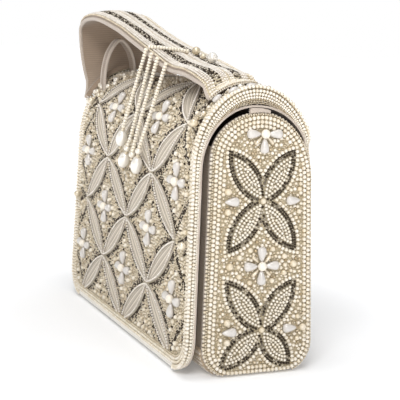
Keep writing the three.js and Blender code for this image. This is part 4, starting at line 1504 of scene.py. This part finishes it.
def sew_panel_rim(node, mirror, rng):
    """Bead rows and piping round an end panel's edge."""
    rim, outward = panel_rim()
    for kind, row in PANEL_RIM_ROWS.items():
        radius = row["radius"]
        places = spaced(rim, radius * ROW_PITCH, closed=True)
        take = np.linalg.norm(places[:, None] - rim[None], axis=2).argmin(1)
        where, normals = panel_place(places[:, 0], places[:, 1], -row["depth"])
        facing = unit(outward[take] + row["tilt"] * normals)
        where = where - outward[take] * EDGE_SINK
        off_floor = where[:, 2] > 2 * radius
        where, facing = where[off_floor], facing[off_floor]
        piece = sewn_beads(
            f"{node}_rim_{kind}_beads", row["shape"], where * mirror, facing * mirror,
            np.full(len(where), radius), finish(kind), rng, PEARL_TONES,
        )
        dressed(piece, "beadwork")
    where, _ = panel_place(rim[:, 0], rim[:, 1], -PANEL_PIPING_DEPTH)
    line = (where - outward * PANEL_PIPING_SINK) * mirror
    line[:, 2] = np.maximum(line[:, 2], PANEL_PIPING_LOWEST)
    line = np.vstack([line, line[:1]])
    dressed(tube(f"{node}_piping", [line[::3]], PANEL_PIPING_R, finish("piping")), "taupe_fabric")


def build_end_panels():
    """Both end panels: cloth, pearl rows, crossed petals and ground."""
    rng = np.random.default_rng(SEED + 1)
    bed = panel_bed(rng)
    for label, side in ENDS.items():
        node = f"end_panel_{label}"
        cloth = node_copy(f"{node}_cloth", node, CLOTH_DEPTH)
        cloth.data.materials.append(finish("ground"))
        dressed(cloth, "beadwork", node)
        mirror = np.array([side, 1, 1])
        for kind, bead in PANEL_BEADS.items():
            a, b, radii, lift = bed.of(kind)
            where, normals = panel_place(a, b, lift - CLOTH_DEPTH - BEAD_SINK * radii)
            piece = sewn_beads(
                f"{node}_{kind}_beads", bead["shape"], where * mirror, normals * mirror, radii,
                finish(bead["look"]), rng, bead["tones"],
            )
            dressed(piece, "beadwork")
        sew_panel_rim(node, mirror, rng)


class BAG_OT_end_panels(bpy.types.Operator):
    """Sew both end panels: pearl rows, crossed petals and ground beads"""

    bl_idname = "beaded_bag.end_panels"
    bl_label = "End panels"

    def execute(self, context):
        build_end_panels()
        return {"FINISHED"}


# Body, tabs and loop.

TAB_BEVEL = 0.6
# Cords laid round the foot of the body's front wall.
RIM_CORDS = 6
RIM_CORD_R = 1.15
RIM_CORD_TURNS = (0.05, 1.15)
RIM_CORD_SINK = 0.3
RIM_END_INSET = 1


def build_body():
    """The taupe body, its corded rim and the cream tabs."""
    body = node_copy("body_cloth", "body_shell", 0)
    body.data.materials.append(finish("shell"))
    dressed(body, "taupe_fabric", "body_shell")
    for label in ENDS:
        tab = node_copy(f"top_tab_{label}_cloth", f"top_tab_{label}", 0)
        bevel = tab.modifiers.new("soft edge", "BEVEL")
        bevel.width = TAB_BEVEL * MM
        bevel.segments = 2
        apply_modifiers(tab)
        tab.data.materials.append(finish("piping"))
        dressed(tab, "cream_fabric", f"top_tab_{label}")
    low, high = (np.array(corner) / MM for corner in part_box("body_shell"))
    along = np.linspace(low[0] + RIM_END_INSET, high[0] - RIM_END_INSET, 30)
    cords = []
    for turn in np.linspace(*RIM_CORD_TURNS, RIM_CORDS):
        y = low[1] + RIM_CORNER_R * (1 - math.cos(turn)) + RIM_CORD_SINK
        z = RIM_CORNER_R * (1 - math.sin(turn)) + RIM_CORD_SINK
        cords.append([(x, y, z) for x in along])
    dressed(tube("body_rim_cords", cords, RIM_CORD_R, finish("cord")), "cream_fabric")


class BAG_OT_body(bpy.types.Operator):
    """Make the body's cloth, its rim cords and the tabs"""

    bl_idname = "beaded_bag.body"
    bl_label = "Body and tabs"

    def execute(self, context):
        build_body()
        return {"FINISHED"}


def strap_sheet(name, across, along, place):
    """A grid whose corners a function of (across, along) from 0 to 1 places, in millimetres."""
    deselect()
    bpy.ops.mesh.primitive_grid_add(x_subdivisions=across, y_subdivisions=along, size=2)
    piece = bpy.context.object
    piece.name = piece.data.name = name
    grid = np.zeros(len(piece.data.vertices) * 3)
    piece.data.vertices.foreach_get("co", grid)
    grid = grid.reshape(-1, 3)
    where = place((grid[:, 0] + 1) / 2, (grid[:, 1] + 1) / 2)
    piece.data.vertices.foreach_set("co", (where * MM).astype(np.float32).ravel())
    piece.data.update()
    return piece


LOOP_CLOTH_WIDTH = LOOP_WIDTH - 1.2
LOOP_CLOTH_T = LOOP_T * 0.8
LOOP_STEPS = 60
LOOP_PIPING_R = 1.3
LOOP_PIPING_X = LOOP_WIDTH / 2 - 0.9


def build_loop():
    """The keeper loop: a folded strap with piped edges."""
    path = smooth_curve([(LOOP_X, y, z) for y, z in LOOP_PATH])

    def place(u, v):
        return path(v) + np.multiply.outer((u - 0.5) * LOOP_CLOTH_WIDTH, [1, 0, 0])

    strap = strap_sheet("keeper_loop_cloth", 6, LOOP_STEPS, place)
    wall = strap.modifiers.new("thickness", "SOLIDIFY")
    wall.thickness = LOOP_CLOTH_T * MM
    wall.offset = 1
    apply_modifiers(strap)
    strap.data.materials.append(finish("taupe"))
    bpy.ops.object.shade_smooth_by_angle(angle=math.radians(40))
    dressed(strap, "taupe_fabric", "keeper_loop")
    line = path(np.linspace(0, 1, LOOP_STEPS))
    out = np.cross([[1, 0, 0]], unit(np.gradient(line, axis=0)))
    edges = [line + out * LOOP_T / 2 + [[x, 0, 0]] for x in (-LOOP_PIPING_X, LOOP_PIPING_X)]
    dressed(tube("keeper_loop_piping", edges, LOOP_PIPING_R, finish("piping")), "taupe_fabric")


class BAG_OT_loop(bpy.types.Operator):
    """Make the piped keeper loop"""

    bl_idname = "beaded_bag.loop"
    bl_label = "Keeper loop"

    def execute(self, context):
        build_loop()
        return {"FINISHED"}


# Handle.

# Rows along the handle: share of the width from the front edge, kind and radius.
HANDLE_ROWS = [
    (0.03, "gold", 0.85), (0.072, "seed", 1.1), (0.118, "seed", 1.1), (0.16, "seed", 1.0),
    (0.2, "steel", 0.95), (0.236, "steel", 0.95), (0.272, "steel", 0.95), (0.308, "steel", 0.95),
    (0.348, "seed", 1.0), (0.39, "seed", 1.1), (0.432, "seed", 1.0), (0.47, "gold", 0.8),
    (0.508, "seed", 1.0), (0.55, "seed", 1.0),
    (0.59, "steel", 0.95), (0.626, "steel", 0.95), (0.662, "steel", 0.95), (0.698, "steel", 0.95),
    (0.742, "seed", 1.1), (0.788, "seed", 1.1), (0.834, "seed", 1.1), (0.878, "gold", 0.85),
    (0.926, "pearl", 1.3), (0.975, "pearl", 1.2),
]
# Where the dark stripes and the other rows start along the handle, and their pitch in radii.
HANDLE_STRIPE_START = 0.035
HANDLE_ROW_START = 0.004
HANDLE_PITCH = 2.15
# How far the beads of the stripes stray, in millimetres along and as a share of the width across.
STRIPE_STRAY_ALONG = 0.25
STRIPE_STRAY_ACROSS = 0.006
# The row nearest the front edge leans over it. The edge's direction is taken between two shares.
HANDLE_EDGE_U = 0.05
HANDLE_EDGE_LEAN = 0.7
HANDLE_EDGE_SHARES = (0.02, 0.1)
# The strap's grid, and how far its cloth stays inside the edges, as a share of the width.
HANDLE_COLUMNS = 22
HANDLE_STEPS = 150
HANDLE_INSET = 0.012
# Pearl rows across the right foot by their place along the handle, then on its cut end by lift.
FOOT_ROWS = (0.008, 0.018, 0.029)
FOOT_ROW_U = (0.2, 0.75)
FOOT_ROW_BEADS = 22
FOOT_ROW_R = 0.95
FOOT_END_LIFTS = (0.2, 1.4)
FOOT_END_U = (0.01, 0.99)
FOOT_END_BEADS = 25
FOOT_END_R = 0.85
FOOT_END_SINK = 0.4
FOOT_END_FACING = (0.9, -0.1, 0.42)
HANDLE_PIPING_R = 1.5
HANDLE_PIPING_U = (0.006, 0.994)
HANDLE_PIPING_LIFT = 0.9
# Dark beads on the seam beside the right foot.
SEAM_X = 104.2
SEAM_Y = (-38.5, 3)
SEAM_PITCH = 1.75
SEAM_BEAD_R = 0.95
HANDLE_BEADS = {
    "pearl": {"shape": SEED_BEAD, "look": "pearl", "tones": PEARL_TONES},
    "seed": {"shape": SEED_BEAD, "look": "chalk", "tones": PEARL_TONES},
    "gold": {"shape": TINY_BEAD, "look": "gold", "tones": PEARL_TONES},
    "steel": {"shape": TINY_BEAD, "look": "steel", "tones": SPECKLED_TONES},
}


def sew_strap():
    """The handle's padded strap: ground under the beads, lining on its inner side and edges."""

    def place(u, v):
        return handle_place(HANDLE_INSET + (1 - 2 * HANDLE_INSET) * u, v)[0]

    strap = strap_sheet("handle_cloth", HANDLE_COLUMNS, HANDLE_STEPS, place)
    padding = strap.vertex_groups.new(name="padding")
    for i in range(len(strap.data.vertices)):
        along = (i // (HANDLE_COLUMNS + 1)) / HANDLE_STEPS
        padding.add([i], float(handle_thickness(along) / HANDLE_T), "REPLACE")
    wall = strap.modifiers.new("padding", "SOLIDIFY")
    wall.thickness = (HANDLE_T - GROUND) * MM
    wall.offset = 1
    wall.vertex_group = "padding"
    wall.material_offset = 1
    wall.material_offset_rim = 1
    strap.data.materials.append(finish("ground"))
    strap.data.materials.append(finish("taupe"))
    apply_modifiers(strap)
    bpy.ops.object.shade_smooth_by_angle(angle=math.radians(50))
    dressed(strap, "beadwork", "handle")


def handle_row(u, kind, radius, rng):
    """Places, normals and radii of a row of beads along the handle."""
    stripe = kind == "steel"
    lean = HANDLE_EDGE_LEAN if u < HANDLE_EDGE_U else 0.0
    v = np.linspace(0, 1, 600)
    along = v[v > (HANDLE_STRIPE_START if stripe else HANDLE_ROW_START)]
    line, _ = handle_place(u, along, handle_thickness(along) - GROUND)
    length = running_length(line)
    at = np.arange(0, length[-1], radius * HANDLE_PITCH)
    if stripe:
        at = at + rng.normal(0, STRIPE_STRAY_ALONG, len(at))
        u = u + rng.normal(0, STRIPE_STRAY_ACROSS, len(at))
    places = np.interp(at, length, along)
    where, normals = handle_place(u, places, handle_thickness(places) - GROUND)
    outer, inner = (handle_place(share, places)[0] for share in HANDLE_EDGE_SHARES)
    facing = unit(normals + lean * unit(outer - inner))
    return where, facing, np.full(len(places), radius)


def foot_rows():
    """Places, normals and radii of the pearl rows on the right foot."""
    rows = []
    u = np.linspace(*FOOT_ROW_U, FOOT_ROW_BEADS)
    for v in FOOT_ROWS:
        where, normals = handle_place(u, v, handle_thickness(v) - GROUND)
        rows.append((where, normals, np.full(FOOT_ROW_BEADS, FOOT_ROW_R)))
    u = np.linspace(*FOOT_END_U, FOOT_END_BEADS)
    for lift in FOOT_END_LIFTS:
        where, _ = handle_place(u, 0.0, lift)
        facing = np.tile(FOOT_END_FACING, (FOOT_END_BEADS, 1))
        rows.append((where - [[FOOT_END_SINK, 0, 0]], facing, np.full(FOOT_END_BEADS, FOOT_END_R)))
    return rows


def sew_seam(rng):
    """Dark beads on the seam beside the right foot."""
    y, z, _, _ = over_cover(np.linspace(*SEAM_Y, 240), 0)
    seam = spaced(np.stack([np.full_like(y, SEAM_X), y, z], -1), SEAM_PITCH)
    _, _, ny, nz = over_cover(seam[:, 1], 0)
    facing = np.stack([np.zeros_like(ny), ny, nz], -1)
    radii = np.full(len(seam), SEAM_BEAD_R)
    piece = sewn_beads("handle_seam_beads", SEED_BEAD, seam, facing, radii, finish("steel"), rng)
    dressed(piece, "beadwork")


def build_handle():
    """The handle: lined strap, bead rows, dark stripes, piping and its sewn foot."""
    rng = np.random.default_rng(SEED + 2)
    sew_strap()
    beads = {kind: [] for kind in HANDLE_BEADS}
    for u, kind, radius in HANDLE_ROWS:
        beads[kind].append(handle_row(u, kind, radius, rng))
    beads["pearl"] += foot_rows()
    for kind, bead in HANDLE_BEADS.items():
        where, normals, radii = (np.concatenate(column) for column in zip(*beads[kind]))
        piece = sewn_beads(
            f"handle_{kind}_beads", bead["shape"], where, normals, radii,
            finish(bead["look"]), rng, bead["tones"],
        )
        dressed(piece, "beadwork")
    v = np.linspace(0, 1, 220)
    edges = [handle_place(u, v, HANDLE_PIPING_LIFT)[0] for u in HANDLE_PIPING_U]
    dressed(tube("handle_piping", edges, HANDLE_PIPING_R, finish("piping"), sides=4), "taupe_fabric")
    sew_seam(rng)


class BAG_OT_handle(bpy.types.Operator):
    """Make the padded handle with its rows of beads"""

    bl_idname = "beaded_bag.handle"
    bl_label = "Handle"

    def execute(self, context):
        build_handle()
        return {"FINISHED"}


# Flowers, stones and pearls.

OPAL_DROP = {"length": 10.2, "width": 6.4, "height": 4.4, "taper": 0.42}
SLIM_DROP = {"length": 7.0, "width": 2.6, "height": 2.4, "taper": 0.3}
SLIM_TONE = 0.7
# Share of a drop's half height that is cut off to make its back flat.
FLAT_BACK = 0.35
# A flower's pearl heart, and where its drops start: out from the centre and up.
HEART_R = 3.1
HEART_STRETCH = (1, 1, 0.85)
HEART_Z = 2.6
HEART_TONE = 0.85
DROPS_OUT = 2.6
DROPS_UP = 0.2
SEAM_OPAL_R = 2.2
SEAM_OPAL_STRETCH = (1, 1.7, 0.9)
SEAM_OPAL_Z = 0.9
# How deep the flowers and drops sit in the solids' faces.
STONE_SINK = GROUND * 0.6
# The single pearls' tones, and their slightly flattened shape.
NACRE_TONES = {"edge_pearl": (0.25, 0.45, 0.35, 0.3), "handle_pearl": (0.15, 0.35, 1.0)}
NACRE_STRETCH = (1.03, 1.03, 0.97)


def ball(name, radius, stretch=(1, 1, 1), segments=20, rings=12):
    """A closed round body at the origin, in millimetres, to be shaped and placed."""
    deselect()
    bpy.ops.mesh.primitive_uv_sphere_add(segments=segments, ring_count=rings, radius=radius * MM)
    piece = bpy.context.object
    piece.name = piece.data.name = name
    piece.data.transform(Matrix.Diagonal((*stretch, 1)))
    bpy.ops.object.shade_smooth()
    return piece


def drop_mesh(length, width, height, taper):
    """A flat-backed teardrop that starts at the origin and widens along +X."""
    piece = ball("drop", 1, segments=18, rings=12)
    mesh = piece.data
    for vertex in mesh.vertices:
        x, y, z = (c / MM for c in vertex.co)
        narrow = (1 + taper * x) / (1 + 0.5 * taper)
        square = math.sqrt(1 + max(x, 0) ** 2)
        vertex.co = Vector((
            (x + 1) * length / 2 * MM,
            y * width / 2 * narrow * square * MM,
            (max(z, -FLAT_BACK) * narrow + FLAT_BACK) * height / (1 + FLAT_BACK) * MM,
        ))
    bpy.data.objects.remove(piece)
    return mesh


def joined(name, meshes):
    """One piece of several (mesh, matrix, finish) parts."""
    deselect()
    parts = []
    for mesh, matrix, look in meshes:
        part = new_object(name, mesh.copy())
        part.data.transform(matrix)
        part.data.materials.clear()
        part.data.materials.append(finish(look))
        part.select_set(True)
        parts.append(part)
    bpy.context.view_layer.objects.active = parts[0]
    bpy.ops.object.join()
    piece = bpy.context.object
    piece.name = piece.data.name = name
    return piece


def standing(point, normal, turn=0.0):
    """Places a piece on a surface: +Z along the normal, +Y as upright as can be."""
    normal = Vector(normal)
    right = Vector((0, 0, 1)).cross(normal).normalized()
    up = normal.cross(right)
    basis = Matrix((right, up, normal)).transposed().to_4x4()
    return Matrix.Translation(Vector(point) * MM) @ basis @ Matrix.Rotation(turn, 4, "Z")


def flower_parts(turns, slim_turns):
    """Opal drops round a pearl, with slim gold drops between them."""
    opal = drop_mesh(**OPAL_DROP)
    slim = with_tone(drop_mesh(**SLIM_DROP), SLIM_TONE)
    heart = ball("heart", HEART_R, HEART_STRETCH)
    pearl = with_tone(heart.data, HEART_TONE)
    bpy.data.objects.remove(heart)
    parts = [(pearl, Matrix.Translation((0, 0, HEART_Z * MM)), "pearl")]
    out = Matrix.Translation((DROPS_OUT * MM, 0, DROPS_UP * MM))
    for turn in turns:
        parts.append((opal, Matrix.Rotation(turn, 4, "Z") @ out, "opal"))
    for turn in slim_turns:
        parts.append((slim, Matrix.Rotation(turn, 4, "Z") @ out, "gold"))
    return parts


def set_on_panel(piece, side, y, z, turn=0.0):
    """Stands a piece on an end panel's face, mirrored on the left one."""
    point, normal = panel_place(y, z, -STONE_SINK)
    piece.data.transform(Matrix.Diagonal((side, 1, 1, 1)) @ standing(point, normal, turn))
    if side < 0:
        piece.data.flip_normals()


def build_flowers():
    """Flowers of the flap and the end panels, and the single drops beside the crossings."""
    flap = flower_parts(QUARTERS, [])
    for i, place in enumerate(FLAP_FLOWERS):
        name = f"flap_flower_{i + 1}"
        point, normal = cover_place(*lattice(*place), -STONE_SINK)
        piece = joined(f"{name}_stones", flap)
        piece.data.transform(standing(point, normal))
        dressed(piece, "white_stone", name)
    for i, spot in enumerate(SEAM_OPALS):
        point, normal = cover_place(*cover_spot(*spot), -STONE_SINK)
        oval = ball(f"seam_opal_{i + 1}", SEAM_OPAL_R, SEAM_OPAL_STRETCH, 18, 12)
        oval.data.transform(standing(point, normal) @ Matrix.Translation((0, 0, SEAM_OPAL_Z * MM)))
        oval.data.materials.append(finish("opal"))
        dressed(oval, "white_stone")
    parts = {which: flower_parts(kind["drops"], kind["slim"]) for which, kind in PANEL_FLOWERS.items()}
    stone = drop_mesh(**OPAL_DROP)
    centred = Matrix.Translation((-OPAL_DROP["length"] / 2 * MM, 0, 0))
    for label, side in ENDS.items():
        for which, kind in PANEL_FLOWERS.items():
            name = f"end_flower_{label}_{which}"
            piece = joined(f"{name}_stones", parts[which])
            set_on_panel(piece, side, 0.0, kind["z"])
            dressed(piece, "white_stone", name)
        for level, crossing in enumerate(PANEL_CROSSINGS):
            for edge, y in SIDE_STONE_Y.items():
                name = f"side_stone_{label}_{level + 1}_{edge}"
                piece = joined(f"{name}_opal", [(stone, centred, "opal")])
                set_on_panel(piece, side, y, crossing["z"], math.pi if y > 0 else 0.0)
                dressed(piece, "white_stone", name)


class BAG_OT_flowers(bpy.types.Operator):
    """Set the flowers and single drops"""

    bl_idname = "beaded_bag.flowers"
    bl_label = "Flowers and drops"

    def execute(self, context):
        build_flowers()
        return {"FINISHED"}


def build_pearls():
    """The single pearls of the flap's lattice and of the handle."""
    for kind, tones in NACRE_TONES.items():
        for i, tone in enumerate(tones):
            name = f"{kind}_{i + 1}"
            low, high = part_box(name)
            radius = (high - low)[2] / 2 / MM
            piece = ball(f"{name}_bead", radius, NACRE_STRETCH, 24, 16)
            piece.data.transform(Matrix.Translation((low + high) / 2))
            piece.data.materials.append(finish("nacre"))
            with_tone(piece.data, tone)
            dressed(piece, "pearl", name)


class BAG_OT_pearls(bpy.types.Operator):
    """Set the single pearls"""

    bl_idname = "beaded_bag.pearls"
    bl_label = "Single pearls"

    def execute(self, context):
        build_pearls()
        return {"FINISHED"}


# Tassel.

STRUNG_BEAD = bead_shape(12, [(0.45, -0.62), (0.86, -0.45), (1, 0), (0.86, 0.45), (0.45, 0.62)], 0.64)
# Pitch of strung beads in radii, the spread of their sizes and their tones.
STRUNG_PITCH = 1.32
STRUNG_SPREAD = (0.92, 1.02)
STRUNG_TONES = (0, 0.7)
# Size of the beads beside that of the solid strings, and how deep the wrap sits in the handle.
STRAND_BEAD = 1.02
WRAP_BEAD = 1.05
WRAP_SINK = 0.6


def strand_end(strand):
    return (strand["end_x"], float(flap_y(SPRING_Z)) - DROP_R - STRAND_LIFT, strand["end_z"])


def strand_path(strand):
    """A string from the handle's front edge over the cover's shoulder to its drop."""
    edge = HANDLE_FRONT(np.linspace(0, 0.5, 2000))
    edge = edge[np.argmin(np.abs(edge[:, 0] - strand["top_x"]))]
    top = (strand["top_x"], edge[1] - STRAND_R - STRAND_LIFT, edge[2] + HANDLE_T)
    end = strand_end(strand)
    shoulder_y, shoulder_z = on_profile("y", STRAND_SHOULDER_S), on_profile("z", STRAND_SHOULDER_S)
    bent_x = end[0] + (top[0] - end[0]) * STRAND_BEND
    bent = (bent_x, shoulder_y - STRAND_R - STRAND_SHOULDER_LIFT, shoulder_z)
    hangs = strand["end_z"] < STRAND_SHOULDER_S - STRAND_BEND_MIN
    return smooth_curve([top, bent, end] if hangs else [top, end])(np.linspace(0, 1, 200))


def drop_parts(strand):
    """The beads at a string's end, from the lowest up, on an axis that leans from the string."""
    rows = [(DROP_BEAD_R, 2 * DROP_BEAD_R, "gold", 0.6)]
    if strand["oval"]:
        rows += [(DROP_R, DROP_LENGTH, "nacre", 1.0), (DROP_BEAD_R, 2 * DROP_BEAD_R, "gold", 0.7)]
    if strand["round"]:
        rows.append((DROP_PEARL_R, 2 * DROP_PEARL_R, "nacre", 0.7))
    height = sum(length for _, length, _, _ in rows) * DROP_JOIN
    hang = Matrix.Translation(Vector(strand_end(strand)) * MM)
    hang = hang @ Matrix.Rotation(math.radians(strand["lean"]), 4, "Y")
    low = -height - DROP_GAP
    parts = []
    for radius, length, look, tone in rows:
        body = ball("bead", radius, (1, 1, length / 2 / radius), 20, 14)
        mesh = with_tone(body.data, tone)
        bpy.data.objects.remove(body)
        parts.append((mesh, hang @ Matrix.Translation((0, 0, (low + length / 2) * MM)), look))
        low += length * DROP_JOIN
    return parts


def strung(name, node, line, radius, rng):
    """Beads threaded along a line."""
    places = spaced(line, radius * STRUNG_PITCH)
    ahead = unit(np.gradient(places, axis=0))
    radii = radius * rng.uniform(*STRUNG_SPREAD, len(places))
    piece = sewn_beads(name, STRUNG_BEAD, places, ahead, radii, finish("strung"), rng, STRUNG_TONES)
    return dressed(piece, "bead_string", node)


def build_tassel():
    """Strings of beads, their pearl drops and the wrap across the handle."""
    rng = np.random.default_rng(SEED + 3)
    for i, strand in enumerate(STRANDS):
        node = f"tassel_strand_{i + 1}"
        strung(f"{node}_beads", node, strand_path(strand), STRAND_R * STRAND_BEAD, rng)
        node = f"tassel_drop_{i + 1}"
        dressed(joined(f"{node}_pearls", drop_parts(strand)), "pearl", node)
    across = np.linspace(*WRAP_ACROSS, 80)
    along = np.linspace(*WRAP_ALONG, 80)
    line, _ = handle_place(across, along, HANDLE_T + STRAND_R + CLEARANCE - WRAP_SINK)
    strung("tassel_wrap_beads", "tassel_wrap", line, STRAND_R * WRAP_BEAD, rng)


class BAG_OT_tassel(bpy.types.Operator):
    """String the tassel"""

    bl_idname = "beaded_bag.tassel"
    bl_label = "Tassel"

    def execute(self, context):
        build_tassel()
        return {"FINISHED"}


# Stage.

CAMERA_PLACE = (716.771, -308.168, 215.968)
CAMERA_AZIMUTH = 66.103
CAMERA_ELEVATION = 8.642
CAMERA_ROLL = 2.273
CAMERA_LENS = 93.69
CAMERA_SENSOR = 36
# Area lamps: place and width in metres, power in watts. All of them look at the bag's middle.
LAMPS = {
    "key": {"place": (1.0, -0.68, 1.1), "width": 0.6, "power": 10.8},
    "overhead": {"place": (0.1, -0.1, 1.2), "width": 0.5, "power": 4.9},
    "side": {"place": (1.1, 0.5, 0.8), "width": 0.5, "power": 1.4},
    "fill": {"place": (1.2, -0.5, 0.3), "width": 0.4, "power": 1.6},
}
LAMP_AIM = (0, 0, 0.1)


def floor_painted_glow():
    # Matt white shooting table with a painted glow, weak near the bag and strong towards its edge, so
    # that it fades out to white.
    material, tree, shader = new_material(
        "matt_white_floor_painted_glow", Base_Color=rgba("floor"), Roughness=0.9, Emission_Color=(1, 1, 1, 1)
    )
    place = add_node(tree, "ShaderNodeTexCoord")
    reach = add_node(
        tree, "ShaderNodeVectorMath", {0: place.outputs["Object"]}, operation="LENGTH"
    )
    glow = add_node(
        tree, "ShaderNodeMapRange",
        {0: reach.outputs["Value"], 1: 0.08, 2: 0.44, 3: 0.12, 4: 0.8}, interpolation_type="SMOOTHSTEP",
    )
    # Painted glow of the floor, growing with distance from the middle.
    tree.links.new(glow.outputs[0], shader.inputs["Emission Strength"])
    return material


def light_room():
    """A white room, dimmer above the walls and on the camera's side, and the lamps."""
    world = bpy.data.worlds.new("studio")
    world.use_nodes = True
    tree = world.node_tree
    place = add_node(tree, "ShaderNodeTexCoord")
    axes = add_node(tree, "ShaderNodeSeparateXYZ", {0: place.outputs["Generated"]})
    walls = add_node(
        tree, "ShaderNodeMapRange",
        {0: axes.outputs["Z"], 1: 0.06, 2: 0.2, 3: 1.0, 4: 0.4}, interpolation_type="SMOOTHSTEP",
    )
    front = add_node(
        tree, "ShaderNodeMapRange",
        {0: axes.outputs["X"], 1: -0.3, 2: 0.4, 3: 1.0, 4: 0.5}, interpolation_type="SMOOTHSTEP",
    )
    strength = add_node(
        tree, "ShaderNodeMath", {0: walls.outputs[0], 1: front.outputs[0]}, operation="MULTIPLY"
    )
    background = tree.nodes["Background"]
    background.inputs["Color"].default_value = (1, 1, 1, 1)
    tree.links.new(strength.outputs[0], background.inputs["Strength"])
    bpy.context.scene.world = world
    bpy.context.scene.view_settings.view_transform = "Standard"
    for name, lamp in LAMPS.items():
        aim = (Vector(LAMP_AIM) - Vector(lamp["place"])).to_track_quat("-Z", "Y").to_euler()
        bpy.ops.object.light_add(type="AREA", location=lamp["place"], rotation=aim)
        light = bpy.context.object
        light.name = name
        light.data.size = lamp["width"]
        light.data.energy = lamp["power"]


def set_camera():
    """The camera where the photograph was taken from."""
    azimuth, elevation = math.radians(CAMERA_AZIMUTH), math.radians(CAMERA_ELEVATION)
    ahead = Vector((
        -math.cos(elevation) * math.sin(azimuth),
        math.cos(elevation) * math.cos(azimuth),
        -math.sin(elevation),
    ))
    roll = Matrix.Rotation(math.radians(CAMERA_ROLL), 4, "Z").to_quaternion()
    turned = ahead.to_track_quat("-Z", "Y") @ roll
    bpy.ops.object.camera_add(location=Vector(CAMERA_PLACE) * MM, rotation=turned.to_euler())
    camera = bpy.context.object
    camera.data.lens = CAMERA_LENS
    camera.data.sensor_width = CAMERA_SENSOR
    bpy.context.scene.camera = camera


def build_stage():
    """Pale floor with a painted glow that fades it to white, soft light and the camera."""
    deselect()
    bpy.ops.mesh.primitive_circle_add(vertices=64, radius=20, fill_type="NGON")
    floor = bpy.context.object
    floor.name = "floor"
    floor.data.materials.append(floor_painted_glow())
    light_room()
    set_camera()


class BAG_OT_stage(bpy.types.Operator):
    """Set the floor, the lights and the camera"""

    bl_idname = "beaded_bag.stage"
    bl_label = "Stage"

    def execute(self, context):
        build_stage()
        return {"FINISHED"}


OPERATORS = (
    BAG_OT_stage, BAG_OT_body, BAG_OT_loop, BAG_OT_end_panels, BAG_OT_cover, BAG_OT_handle,
    BAG_OT_flowers, BAG_OT_pearls, BAG_OT_tassel,
)


class BAG_PT_pieces(bpy.types.Panel):
    """Lists the bag's pieces in the order in which they are made."""

    bl_label = "Beaded Handbag"
    bl_idname = "BAG_PT_pieces"
    bl_space_type = "VIEW_3D"
    bl_region_type = "UI"
    bl_category = "Beaded Handbag"

    def draw(self, context):
        for operator in OPERATORS:
            self.layout.operator(operator.bl_idname)
        for group in (context.scene.beaded_bag.beads, context.scene.beaded_bag.colours):
            for name in group.__annotations__:
                self.layout.prop(group, name)


CLASSES = (BagBeads, BagColours, BagSettings, *OPERATORS, BAG_PT_pieces)


def register():
    for item in CLASSES:
        bpy.utils.register_class(item)
    bpy.types.Scene.beaded_bag = bpy.props.PointerProperty(type=BagSettings)


def unregister():
    del bpy.types.Scene.beaded_bag
    for item in reversed(CLASSES):
        bpy.utils.unregister_class(item)


def main():
    register()
    bpy.ops.beaded_bag.stage()
    bpy.ops.beaded_bag.body()
    bpy.ops.beaded_bag.loop()
    bpy.ops.beaded_bag.end_panels()
    bpy.ops.beaded_bag.cover()
    bpy.ops.beaded_bag.handle()
    bpy.ops.beaded_bag.flowers()
    bpy.ops.beaded_bag.pearls()
    bpy.ops.beaded_bag.tassel()


if __name__ == "__main__":
    main()
